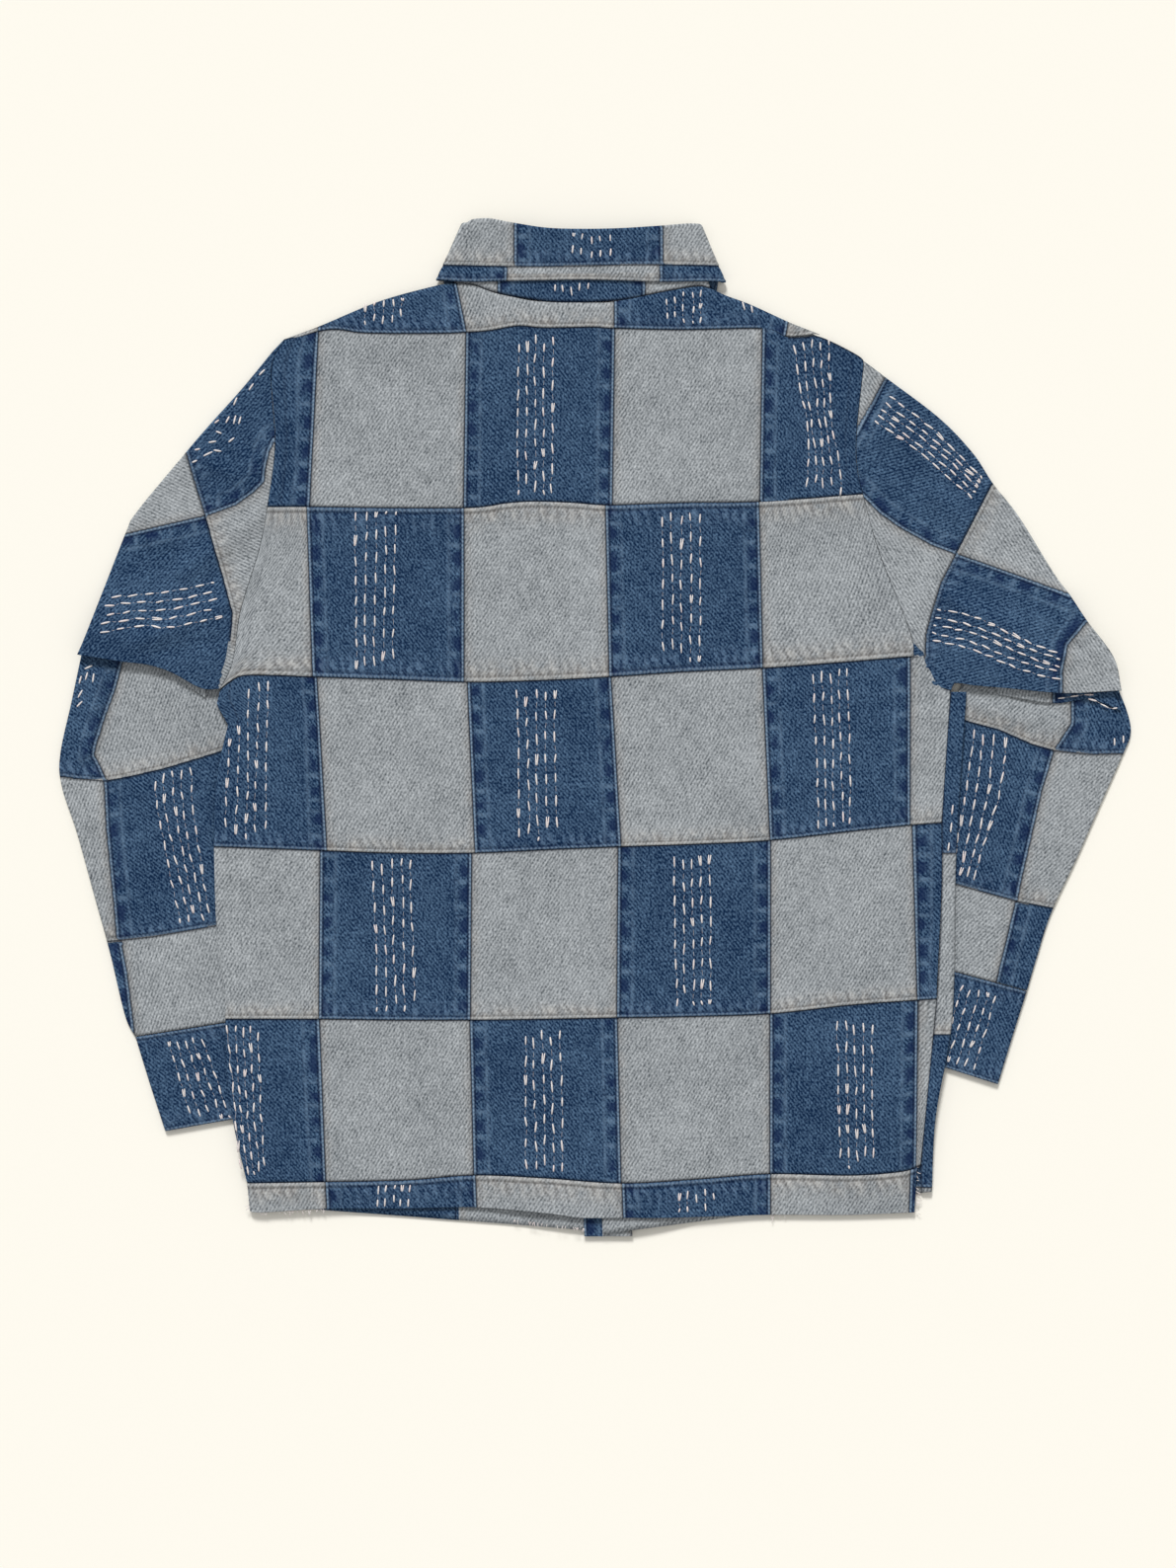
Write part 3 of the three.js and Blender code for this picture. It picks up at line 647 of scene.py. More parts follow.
    # Painted shade in the stitched groove just inside a folded edge.
    groove_shade = row.bell(2.9, 0.7) * folded * (dots_across * 0.5 + 0.5)
    face = tint(face, groove_shade * 0.65, 14, 24, 50)
    reverse = tint(reverse, groove_shade * 0.62, 80, 76, 74)
    colour = mixed(tree, indigo, reverse, face)
    colour = tint(colour, stitched.bell(0.0, 0.9) * (dots_up * 0.4 + 0.6) * 0.85, 36, 42, 58)
    # Painted shadow: a dark line on the cloth that goes under a folded edge, where the fold shades it.
    colour = tint(colour, row.bell(0.0, 1.4) * under_fold_shadow * 0.95, 14, 18, 32)
    tree.links.new(colour, shader.inputs["Base Color"])

    weave = face_twill * indigo + back_twill * (indigo * -1.0 + 1.0)
    bump_up(tree, shader, weave * 0.3 + grain * 1.8 + mottle * 1.2, 0.35, 0.5)
    return material


def thread_material():
    """Thick cotton hand-stitching thread, off-white with a faint pink, twisted."""
    material, tree, shader = new_material("stitch_thread", 0.7, sheen=0.2)
    fibre = position_noise(tree, 1400.0, 2.0)
    shade = position_noise(tree, 60.0, 1.0)
    colour = mixed(tree, fibre.step(0.3, 0.7), srgb(206, 198, 196), srgb(250, 244, 240))
    colour = mixed(tree, shade.step(0.45, 0.75) * 0.35, colour, srgb(232, 204, 204))
    tree.links.new(colour, shader.inputs["Base Color"])
    bump_up(tree, shader, fibre, 0.2)
    return material


def button_material():
    """Plain dark horn-like button."""
    material, tree, shader = new_material("dark_button", 0.38, specular=0.5)
    grain = position_noise(tree, 220.0, 3.0).step(0.35, 0.7)
    colour = mixed(tree, grain, srgb(38, 34, 34), srgb(78, 68, 62))
    tree.links.new(colour, shader.inputs["Base Color"])
    return material


def floor_material():
    material, tree, shader = new_material("floor", 0.95)
    grain = position_noise(tree, 400.0, 2.0) * 0.3
    colour = mixed(tree, grain, srgb(255, 251, 240), srgb(253, 249, 237))
    tree.links.new(colour, shader.inputs["Base Color"])
    return material


DENIM = denim_material()
THREAD = thread_material()
BUTTON = button_material()


# The back.

EDGE_ACROSS = (0, 0.5, 1.0, 1.6, 2.4, 3.4, 4.8, 6.8)
EDGE_DOWN = (0, 0.4, 0.9, 1.4, 2.0, 2.6, 3.2, 3.9, 4.8, 6.2, 8.0)


def back_patch(piece, row, column, indigo):
    """One patch of the back, a closed shell that meets its neighbours edge to edge."""
    upper, lower, tops, bottoms, left_edge, right_edge = BACK_ROWS[row]
    x_top, x_bottom = tops[column:column + 2], bottoms[column:column + 2]
    first, last = column == 0, column == len(tops) - 2
    left_edge = left_edge if first else None
    right_edge = right_edge if last else None
    width = (x_top[1] - x_top[0] + x_bottom[1] - x_bottom[0]) / 2
    depth = abs(row_y(upper, np.mean(x_top)) - row_y(lower, np.mean(x_bottom)))
    u = steps(width, EDGE_ACROSS, 2.7)
    v = steps(max(depth, 1.5), EDGE_DOWN, 4.2)
    top = row_side(upper, *x_top, u)
    bottom = row_side(lower, *x_bottom, u)
    left, right = (top[i] + (bottom[i] - top[i]) * v[:, None] for i in (0, -1))
    if left_edge:
        left = along(left_edge, v, smooth=left_edge is not SIDE_LEFT_D)
    if right_edge:
        right = along(right_edge, v)
    plan = coons(top, bottom, left, right, u, v)
    x, y = plan[..., 0], plan[..., 1]
    from_left = np.broadcast_to(u * width, x.shape)
    from_right = np.broadcast_to((1 - u) * width, x.shape)
    column_height = np.linalg.norm(top - bottom, axis=1)
    from_top, from_bottom = v[:, None] * column_height, (1 - v)[:, None] * column_height

    z = worn(back_z(x, y), x, y, BACK_CREASES)
    ridge, tuck, column_seam, stitched = (np.full(x.shape, FAR) for _ in range(4))
    if upper == "top":
        z -= 0.9 * bell(from_top, 2.5)
    elif upper in RIDGE_ON_UPPER:
        tuck = np.minimum(tuck, from_top)
    else:
        ridge = np.minimum(ridge, from_top)
        z += puckers(x, from_top, 0.28)
    if lower in RIDGE_ON_UPPER:
        ridge = np.minimum(ridge, from_bottom)
        z += puckers(x, from_bottom, 0.34)
    elif lower != "hem":
        tuck = np.minimum(tuck, from_bottom)
    armhole = left_edge in ARMHOLES or right_edge in ARMHOLES
    for distance, outer in ((from_left, first), (from_right, last)):
        if not outer:
            column_seam = np.minimum(column_seam, distance)
        elif armhole:
            from_stitches = distance - 8.5
            z += 0.6 * bell(distance - 4.5, 3.2) - 0.35 * bell(from_stitches, 1.0)
            z -= 0.5 * bell(distance, 1.2)
            stitched = np.minimum(stitched, abs(from_stitches))
        elif left_edge is SIDE_LEFT_D:
            z -= 1.1 * bell(distance, 2.6) + 0.5 * bell(distance - 10, 1.0) * (y > 2)
            stitched = np.minimum(stitched, np.where(y > 2, abs(distance - 10), FAR))
        elif first:
            z -= 1.1 * bell(distance, 2.6)
        else:
            z += ridge_shape(distance)
    if upper not in ("top", *RIDGE_ON_UPPER):
        ridge = ridge * 0.72  # these folded edges are wider
    if "A" in (upper, lower):
        whole = ramp(x, 131, 134) * ramp(x, 151, 149)  # one patch runs on here, with no seam
        ridge, tuck = ridge + FAR * whole, tuck + FAR * whole
    z += ridge_shape(ridge) + tuck_shape(tuck) + column_shape(column_seam, indigo)
    middle = np.stack([x, y, z], -1)
    tone = np.full(x.shape, 9.0 if indigo else -9.0)
    known = marks(from_left + 41 * row, from_bottom + 37 * column, row * 7 + column, indigo,
                  nearer(ridge, tuck), column_seam, stitched, tone)
    piece.add(middle, upward(middle), known)


def build_back():
    faces = {True: Cloth(), False: Cloth()}
    nodes = {True: [], False: []}
    for row, spec in enumerate(BACK_ROWS):
        for column in range(len(spec[2]) - 1):
            indigo = (row + column) % 2 == 1
            back_patch(faces[indigo], row, column, indigo)
            node = f"back_row{row}_patch{column}"
            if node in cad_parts:
                nodes[indigo].append(node)
    indigo = faces[True].build("back_indigo_patches", DENIM, "indigo_denim", *nodes[True])
    pale = faces[False].build("back_pale_patches", DENIM, "pale_denim", *nodes[False])
    return indigo, pale


# Pieces whose patches are laid out by seams across the cloth: sleeves, fronts and collar.

def distance_to(line, x, y):
    """Distance to a polyline, and whether a point lies above it as it runs from left to right."""
    line = np.array(line, float)
    nearest = np.full(np.shape(x), 1e9)
    above = np.zeros(np.shape(x), bool)
    for (ax, ay), (bx, by) in zip(line, line[1:]):
        dx, dy = bx - ax, by - ay
        share = np.clip(((x - ax) * dx + (y - ay) * dy) / (dx * dx + dy * dy), 0, 1)
        distance = np.hypot(x - ax - dx * share, y - ay - dy * share)
        closer = distance < nearest
        side = dx * (y - ay) - dy * (x - ax) > 0
        nearest = np.where(closer, distance, nearest)
        above = np.where(closer, side, above)
    return nearest, above


def inside(polygon, x, y):
    crossings = np.zeros(np.shape(x), int)
    for (ax, ay), (bx, by) in zip(polygon, polygon[1:] + polygon[:1]):
        if ay == by:
            continue
        spans = (ay > y) != (by > y)
        crossings += spans & (x < (bx - ax) * (y - ay) / (by - ay) + ax)
    return crossings % 2 == 1


def patched(x, y, layout, base_indigo):
    """Marks and relief at plan points of a sleeve.

    `layout` has the polygons whose tone differs from the base, the row and column seams, and the
    direction of the weave.
    """
    indigo = np.full(np.shape(x), base_indigo)
    seed = np.zeros(np.shape(x))
    for i, polygon in enumerate(layout["indigo"]):
        within = inside(polygon, x, y)
        indigo = np.where(within, not base_indigo, indigo)
        seed = np.where(within, i + 1, seed)
    row, column = np.full(np.shape(x), FAR), np.full(np.shape(x), FAR)
    for line in layout["rows"]:
        distance, above = distance_to(line, x, y)
        row = np.where(distance < abs(row), np.where(above, distance, -distance), row)
    for line in layout["columns"]:
        column = np.minimum(column, distance_to(line, x, y)[0])
    cosine, sine = math.cos(layout["turn"]), math.sin(layout["turn"])
    along_seam, up = x * cosine + y * sine, y * cosine - x * sine
    ridge, tuck = np.where(row > 0, row, FAR), np.where(row > 0, FAR, -row)
    relief = (ridge_shape(ridge) + tuck_shape(tuck) + column_shape(column, indigo)
              + puckers(along_seam, ridge, 0.25))
    return marks(along_seam, up, seed + 60, indigo, row, column), relief


LEFT_UPPER_ROWS = [[(-323, 218), (-318, 200), (-308, 168)],
                   [(-308, 168), (-295, 123), (-286, 91), (-288, 71)]]
LEFT_UPPER = {
    "indigo": [
        [(-240, 315), (-262, 305), (-345, 245)] + LEFT_UPPER_ROWS[0]
        + [(-284, 177), (-270, 187), (-262, 195), (-261, 205), (-258, 219), (-254, 226), (-240, 226)],
        [(-390, 160), (-373, 153)] + LEFT_UPPER_ROWS[1] + [(-300, 20), (-430, 20), (-440, 60)],
    ],
    "rows": LEFT_UPPER_ROWS,
    "columns": [[(-373, 153), (-308, 168)],
                [(-308, 168), (-284, 177), (-270, 187), (-262, 195), (-261, 205), (-258, 219),
                 (-254, 228)]],
    "turn": math.radians(-82),
}
LEFT_FOREARM_STRIP = [(-374, 52), (-380, 30), (-387, 11), (-395, -14), (-396, -21), (-391, -31),
                      (-387, -40)]
LEFT_FOREARM_TOP = [(-388, -41), (-370, -38), (-340, -31), (-310, -22), (-294, -17)]
LEFT_FOREARM = {
    "indigo": [
        [(-408, 80), (-372, 80)] + LEFT_FOREARM_STRIP + [(-440, -39), (-440, 60)],
        LEFT_FOREARM_TOP
        + [(-230, -2), (-230, -147), (-298, -155), (-350, -164), (-378, -167), (-380, -140), (-386, -80)],
        [(-374, -168), (-400, -170), (-380, -250), (-364, -244), (-370, -195)],
    ],
    "rows": [[(-424, -37), (-410, -39)] + LEFT_FOREARM_TOP + [(-240, -4)],
             [(-392, -168), (-378, -167), (-350, -164), (-298, -155), (-235, -146)]],
    "columns": [LEFT_FOREARM_STRIP, [(-388, -41), (-386, -80), (-380, -140), (-378, -166)],
                [(-375, -168), (-370, -195), (-364, -244)]],
    "turn": math.radians(12),
}
RIGHT_UPPER = {
    "indigo": [
        [(231, 279), (260, 275), (335, 200), (314, 194), (285, 138), (266, 145), (242, 158), (225, 170),
         (208, 187), (203, 232)],
        [(285, 138), (374, 106), (388, 85), (372, 66), (368, 45), (368, 20), (240, 20), (260.5, 56),
         (261, 74), (266, 93), (273, 115)],
        [(249, 57), (249.5, 69), (259.5, 58)],
    ],
    "rows": [[(314, 194), (285, 138)], [(285, 138), (273, 115), (266, 93), (261, 74), (260.5, 57)]],
    "columns": [[(205, 190), (225, 170), (242, 158), (266, 145), (285, 138)],
                [(285, 138), (330, 122), (375, 105)], [(230, 280), (218, 256), (205, 232)],
                [(388, 85), (372, 66), (368, 45), (368, 28)]],
    "turn": math.radians(65),
}
RIGHT_FOREARM = {
    "indigo": [
        [(376, 60), (440, 60), (440, -19), (392, -20), (363, -16), (376, 4)],
        [(362, -17), (345, -12), (320, -1), (291, 7), (240, 22), (215, -104), (283, -122), (333, -136),
         (336, -120), (352, -50)],
        [(332, -137), (361, -142), (380, -150), (345, -212), (316, -203)],
    ],
    "rows": [[(250, 20), (291, 7), (320, -1), (345, -12), (362, -17), (392, -20), (425, -19)],
             [(230, -108), (283, -122), (333, -136), (370, -143)]],
    "columns": [[(376, 60), (376, 4), (363, -16)], [(362, -17), (352, -50), (336, -120), (333, -136)],
                [(332, -137), (316, -203)]],
    "turn": math.radians(-14),
}


def on_floor(x, y):
    return np.zeros(np.shape(x))


def sleeve_wall(outer, inner, layout, fold=None, base_indigo=False, thickness=CLOTH, air=SLEEVE_AIR):
    """The grid of a flattened sleeve between its sampled edges.

    With a fold it is open along the armhole and folded at its end; without, it is a tube on the floor.
    """
    closed = fold is None
    lift_by = on_floor if closed else lift
    width = np.linalg.norm(inner - outer, axis=1)
    outward = (outer - inner) / width[:, None]
    edge = (thickness * 2 + air) / 2
    outer_turn = outer - outward * edge
    inner_turn = inner + outward * edge if closed else inner
    down_share = np.linspace(0, 1, len(outer))

    def layer(shares):
        plan = columns_between(inner_turn, outer_turn, shares)
        if not closed:
            plan = plan + (along(fold, shares) - plan[-1])[None] * ramp(down_share, 0.72, 1)[:, None, None]
        return plan

    high_plan = layer(steps(width.max(), (0, 0.8, 1.8, 3.2, 5), 2.2))
    low_plan = layer(np.linspace(1, 0, 22))
    high_z = lift_by(high_plan[..., 0], high_plan[..., 1]) + thickness * 1.5 + air
    low_z = lift_by(low_plan[..., 0], low_plan[..., 1]) + thickness / 2
    high, low = raised(high_plan, high_z), raised(low_plan, low_z)
    turned, turned_normal = turn(high_plan[:, -1], outward, low_z[:, 0], high_z[:, -1], 8)
    parts = [high, turned, low]
    normals = [upward(high), turned_normal, -upward(low)]
    if closed:
        turned, turned_normal = turn(high_plan[:, 0], -outward, low_z[:, -1], high_z[:, 0], 8)
        parts.append(turned[:, ::-1])
        normals.append(turned_normal[:, ::-1])
    middle, normal = np.concatenate(parts, 1), np.concatenate(normals, 1)
    x, y = middle[..., 0], middle[..., 1]
    known, relief = patched(x, y, layout, base_indigo)
    relief = worn(relief, x, y, SLEEVE_CREASES)
    if not closed:
        from_armhole = np.linalg.norm(middle[..., :2] - middle[:, :1, :2], axis=-1)
        from_end = (1 - down_share)[:, None] * np.linalg.norm(outer[-1] - outer[0])
        relief = relief * ramp(from_armhole, 0, 4) - 0.3 * bell(from_armhole, 2) - rounded(from_end, 2.6)
    middle[..., 2] += relief * np.clip(normal[..., 2], 0, 1)
    return middle, normal, known


UPPER_OUTER_LEFT = [(-256, 297), (-280, 268), (-306, 239), (-324, 218), (-362, 172), (-372, 153),
                    (-401, 77), (-409, 58)]
UPPER_OUTER_RIGHT = [(226, 280), (271, 246), (298, 218), (314, 194), (335, 167), (362, 123), (375, 105),
                     (388, 85), (409, 56), (415, 30)]
FOLD_LEFT = [(-296, 31.5), (-307, 31), (-316, 34), (-334, 44), (-352, 50), (-375, 53), (-407, 58)]
FOLD_RIGHT = [(280.5, 30), (284, 36), (300, 34), (324, 32), (370, 28), (413, 30)]
FOREARM_LEFT = ([(-406, 60), (-414, 22), (-423, -20), (-422, -45), (-410, -82), (-397, -129), (-384, -176),
                 (-372, -226), (-364, -243)],
                [(-298, 60), (-276, 22), (-266, -8), (-262, -30), (-258, -62), (-254, -100), (-249, -148),
                 (-245, -204), (-243, -224)])
FOREARM_RIGHT = ([(411, 36), (420, 14), (423, -3), (417, -20), (400, -58), (381, -101), (360, -146),
                  (349, -180), (341, -207)],
                 [(300, 58), (286, 28), (276, 2), (268, -18), (262, -42), (256, -75), (244, -115),
                  (232, -150), (226, -176)])
CUFF_LEFT = ([(-363.5, -243.6), (-352, -281), (-340, -318)], [(-243, -224.6), (-235, -262), (-227, -298)])
CUFF_RIGHT = ([(340.8, -207.6), (329, -245), (318, -281)], [(226, -176.6), (218, -213), (211, -247)])

ARMHOLE_LEFT = ARMHOLE_LEFT_UPPER + ARMHOLE_LEFT_LOWER[1:]
ARMHOLE_RIGHT = ARMHOLE_RIGHT_UPPER + ARMHOLE_RIGHT_LOWER[1:] + [(260, 38), (280, 30)]
UPPER_LENGTH = 285
CUFF_LENGTH = 77
# Uppers by outline, armhole, gap to it, fold and layout; forearms and cuffs by edges and layout.
UPPERS = {
    "left": (UPPER_OUTER_LEFT, ARMHOLE_LEFT, -0.4, FOLD_LEFT, LEFT_UPPER),
    "right": (UPPER_OUTER_RIGHT, ARMHOLE_RIGHT, 0.4, FOLD_RIGHT, RIGHT_UPPER),
}
FOREARMS = {"left": (FOREARM_LEFT, LEFT_FOREARM), "right": (FOREARM_RIGHT, RIGHT_FOREARM)}
CUFFS = {"left": (CUFF_LEFT, LEFT_FOREARM), "right": (CUFF_RIGHT, RIGHT_FOREARM)}


def build_sleeves():
    pieces = {}
    down = steps(UPPER_LENGTH, (0, 0.12, 0.35, 0.7, 1.1, 1.6, 2.2, 3.0, 4.0, 5.5), 2.3)
    for side, (outline, armhole, gap, fold, layout) in UPPERS.items():
        name = f"sleeve_{side}_upper"
        grid = sleeve_wall(along(outline, down), along(armhole, down) + [gap, 0], layout, fold, air=AIR)
        pieces[name] = sewn(name, "indigo_denim", grid)
    for side, (edges, layout) in FOREARMS.items():
        name = f"sleeve_{side}_forearm"
        grid = sleeve_wall(*(evenly(edge, 130) for edge in edges), layout)
        pieces[name] = sewn(name, "pale_denim", grid, loop=True)
    down = steps(CUFF_LENGTH, (0, 0.5, 1.2, 2, 3, 4.5), 2.6)
    for side, (edges, layout) in CUFFS.items():
        name = f"cuff_{side}"
        plain = {"indigo": [], "rows": [], "columns": [], "turn": layout["turn"]}
        middle, normal, known = sleeve_wall(*(along(edge, down) for edge in edges), plain, None, True,
                                            CUFF_CLOTH, SLEEVE_AIR / 2)
        from_top = np.broadcast_to(down[:, None] * CUFF_LENGTH, middle.shape[:2])
        from_edge = np.minimum(from_top, CUFF_LENGTH - from_top)
        known["rows"] = np.stack([from_edge, from_edge, np.full(from_edge.shape, 9.0)], -1)
        middle[..., 2] += np.clip(normal[..., 2], 0, 1) * ridge_shape(from_edge)
        pieces[name] = sewn(name, "indigo_denim", (middle, normal, known), CUFF_CLOTH, loop=True)
    return pieces


# The pleats' lower and upper edges, and the polygons that are indigo.
PLEATS = {
    "left": ([(-394, 57), (-345, 49), (-333, 43), (-318, 31), (-308, 24)],
             [(-396, 59), (-350, 60), (-308, 64)], []),
    "right": ([(415, 14), (390, 23), (360, 20), (318, 27)], [(404, 44), (360, 58), (304, 62)],
              [[(361, 80), (361, 0), (440, 0), (440, 80)]]),
}


def build_pleats():
    pieces = {}
    for side, (lower, upper, indigo) in PLEATS.items():
        u, v = steps(110, (0, 1, 2.5), 3), steps(40, (0, 0.3, 0.8, 1.5, 2.5, 4), 3)
        low = along(lower, u)
        plan = rows_between(along(upper, u), low, v)
        x, y = plan[..., 0], plan[..., 1]
        columns = [[(361, 80), (361, 0)]] if indigo else []
        layout = {"indigo": indigo, "rows": [], "columns": columns, "turn": 0.3}
        known, relief = patched(x, y, layout, False)
        drop = rounded(np.linalg.norm(low[None] - plan, axis=-1), 1.4)
        middle = raised(plan, PLEAT_Z + relief * 0.4 - drop * 0.6)
        name = f"sleeve_{side}_pleat"
        pieces[name] = sewn(name, "pale_denim", (middle, upward(middle), known))
    return pieces


# The fronts, which lie on the floor with their outer face down.

NECK_LEFT_FRONT = [(-127, 345), (-112, 312), (-88, 284), (-52, 267), (-31, 262)]
NECK_RIGHT_FRONT = [(100, 339), (88, 308), (64, 282), (30, 266), (-15, 260)]
FRONT_ROW_Y = (176, 40, -98, -241, -362)
FRONTS = {
    "left": {
        "shoulder": [(-132, 346), (-170, 335), (-208, 320)],
        "armhole": ARMHOLE_LEFT, "side": SIDE_LEFT_FRONT[1:],
        "neck": NECK_LEFT_FRONT, "edge": lambda y: band_x(y) - BAND_HALF - 0.3, "hem": -396,
        "height": front_left_z, "columns": (-225, -108, 60), "shift": 1,
    },
    "right": {
        "shoulder": [(106, 338), (140, 326), (176, 310)],
        "armhole": ARMHOLE_RIGHT, "side": SIDE_RIGHT_FRONT,
        "neck": NECK_RIGHT_FRONT, "edge": lambda y: band_x(y) - OVERLAP_HALF, "hem": -399,
        "height": front_right_z, "columns": (-40, 114, 230), "shift": 0,
    },
}


def checker(x, y, rows, columns, shift):
    """Marks of a panel whose seams are straight rows and columns, and how far its row seams stand up."""
    passed = np.sum([y < level for level in rows], 0) + np.sum([x > level for level in columns], 0)
    indigo = (passed + shift) % 2 == 1
    above = np.min([np.where(y >= level, y - level, FAR) for level in rows], 0)
    below = np.min([np.where(y < level, level - y, FAR) for level in rows], 0)
    side = np.minimum(np.min([abs(x - level) for level in columns], 0), FAR)
    return marks(x, y, 80.0, indigo, nearer(above, below), side), 0.25 * bell(above - 1.5, 1.5)


FRONT_STEPS = 170  # down a front, and how many of them are along the neck
NECK_STEPS = 34


def build_fronts():
    pieces = {}
    for side, spec in FRONTS.items():
        outer = np.vstack([spec["shoulder"], evenly(spec["armhole"], 40),
                           evenly(spec["side"], 90)[1:]])
        outer = along(outer, np.linspace(0, 1, FRONT_STEPS), smooth=False)
        neck = evenly(spec["neck"], NECK_STEPS)
        down = np.linspace(0, 1, FRONT_STEPS - NECK_STEPS + 1)[1:]
        y = neck[-1, 1] + (spec["hem"] - neck[-1, 1]) * down
        inner = np.vstack([neck, np.stack([spec["edge"](y), y], -1)])
        plan = columns_between(inner, outer, steps(280, (0, 0.6, 1.5, 3, 5), 6.5))
        x, y = plan[..., 0], plan[..., 1]
        known, relief = checker(x, y, FRONT_ROW_Y, spec["columns"], spec["shift"])
        middle = raised(plan, spec["height"](x, y) + relief)
        pieces[f"front_{side}"] = sewn(f"front_{side}", "pale_denim", (middle, upward(middle), known))
    return pieces


def build_turned_edge():
    """The strip of the right front that turns over the side and meets the back at the side seam."""
    seam = [(280, 29), (276, -20)] + SIDE_RIGHT_E + [(262, -280), (256.8, -345), (257, -366)]
    inner = evenly(seam, 180) + [0.4, 0]
    line = spline(SIDE_RIGHT_FRONT)
    outer = np.stack([np.interp(-inner[:, 1], -line[:, 1], line[:, 0]), inner[:, 1]], -1)
    high = back_z(inner[:, 0], inner[:, 1]) - 0.2
    low = front_right_z(outer[:, 0], outer[:, 1]) + 0.2
    outward = np.broadcast_to([1.0, 0.0], outer.shape)
    turn_middle = outer - outward * ((high - low) / 2)[:, None]
    top = raised(columns_between(inner, turn_middle, steps(12, (0, 0.5, 1.0, 1.8), 1.6)), high[:, None])
    turned, turned_normal = turn(turn_middle, outward, low, high, 10)
    middle = np.concatenate([top, turned], 1)
    normal = np.concatenate([upward(top), turned_normal], 1)
    x, y = middle[..., 0], middle[..., 1]
    known, relief = checker(x, y, FRONT_ROW_Y, FRONTS["right"]["columns"], 0)
    from_seam = x - inner[:, None, 0]
    known["columns"][..., 2] = from_seam
    relief = worn(relief, x, y, BACK_CREASES) - 0.5 * bell(from_seam, 1.0)
    middle[..., 2] += relief * np.clip(normal[..., 2], 0, 1)
    return sewn("front_right_turned_edge", "pale_denim", (middle, normal, known))


def build_band():
    v, u = steps(660, (0, 0.5, 1.2, 2.2, 4), 4), steps(38, (0, 0.5, 1.2, 2, 3, 4.5), 3)
    y = (NECK_Y - 1) + (HEM_Y - 3 - NECK_Y + 1) * v
    x = band_x(y)[:, None] + BAND_HALF * (2 * u - 1)[None]
    y = np.broadcast_to(y[:, None], x.shape)
    from_edge = BAND_HALF - abs(x - band_x(y))
    row = np.sum([y < level for level in (125, -10, -145, -280)], 0)
    indigo = np.where(y < FRONT_ROW_Y[-1], x < 5, row % 2 == 0)
    middle = np.stack([x, y, BAND_LIFT + CLOTH / 2 + 0.2 * bell(from_edge - 4, 0.8)], -1)
    known = marks(x, y, 91.0, indigo, column=from_edge)
    return sewn("button_band", "indigo_denim", (middle, upward(middle), known))


# The collar: a stand, and a fall that lies over it and starts in a roll at the fold line. Each runs
# from one front end, near the floor, around the back to the other. These are pairs of points on the
# fold line and on the other edge.

FALL_PAIRS = {
    "front_left": [((-14, 300), (-76, 226)), ((-54, 340), (-108, 280)), ((-88, 380), (-118, 335)),
                   ((-101, 396), (-120, 354))],
    "back": [((-102, 398), (-122, 354)), ((-97, 400.5), (-112, 353)), ((-84, 401), (-95, 352.5)),
             ((-68, 398), (-76, 353)), ((-40, 393.5), (-42, 353.5)), ((-12, 392.5), (-12, 354)),
             ((18, 393), (18, 353.5)), ((48, 395), (50, 352.5)), ((72, 397), (84, 353)),
             ((80, 397), (99, 352.5))],
    "front_right": [((77.5, 395), (97, 354)), ((64, 380), (94, 335)), ((30, 340), (84, 280)),
                    ((-10, 300), (52, 226))],
}
STAND_PAIRS = {
    "front_left": [((-15, 294), (-26, 264)), ((-54, 328), (-86, 287)), ((-84, 368), (-109, 316)),
                   ((-94, 391), (-110, 354))],
    "back": [((-94, 391), (-110, 352)), ((-80, 391), (-95, 350)), ((-66, 391), (-78, 344)),
             ((-40, 387), (-42, 337.5)), ((-12, 386), (-10, 336.5)), ((18, 387), (22, 338.5)),
             ((48, 389), (54, 345)), ((66, 391), (80, 349.5)), ((72, 391), (89, 348))],
    "front_right": [((72, 391), (89, 354)), ((60, 368), (85, 312)), ((30, 328), (61, 285)),
                    ((-9, 294), (-8, 264))],
}


def collar_ring(pairs, low_at, high_at, shares):
    """Middle points and outward normals of a collar layer, columns around and rows from fold to edge."""
    def strip(name, count, height_at):
        fold, edge = (evenly([pair[i] for pair in pairs[name]], count) for i in (0, 1))
        plan = rows_between(fold, edge, shares)
        return raised(plan, height_at(plan[..., 0], plan[..., 1]))

    low_left = strip("front_left", 40, low_at)
    high = strip("back", 90, high_at)
    low_right = strip("front_right", 40, low_at)
    out_left = np.broadcast_to([-1.0, 0.0], (len(shares), 2))
    left, left_normal = turn(high[:, 0, :2], out_left, low_left[:, -1, 2], high[:, 0, 2], 10)
    right, right_normal = turn(high[:, -1, :2], -out_left, low_right[:, 0, 2], high[:, -1, 2], 10)
    middle = np.concatenate([low_left, left[:, ::-1], high, right, low_right], 1)
    normal = np.concatenate([-upward(low_left), left_normal[:, ::-1], upward(high), right_normal,
                             -upward(low_right)], 1)
    return middle, normal


STAND_SEAMS = (-77, 39)  # the columns between pale and indigo
FALL_UPPER_SEAMS = (-64, 53)
FALL_LOWER_SEAMS = (-70, 51)
FALL_FRONT_SEAM = 28  # from the fold line
STAND_FACE = 50
FALL_FACE = 42
ROLL = (CLOTH + SLEEVE_AIR) / 2


def to_columns(x, seams):
    return np.minimum(abs(x - seams[0]), abs(x - seams[1]))


def between(x, seams):
    return (x > seams[0]) & (x < seams[1])


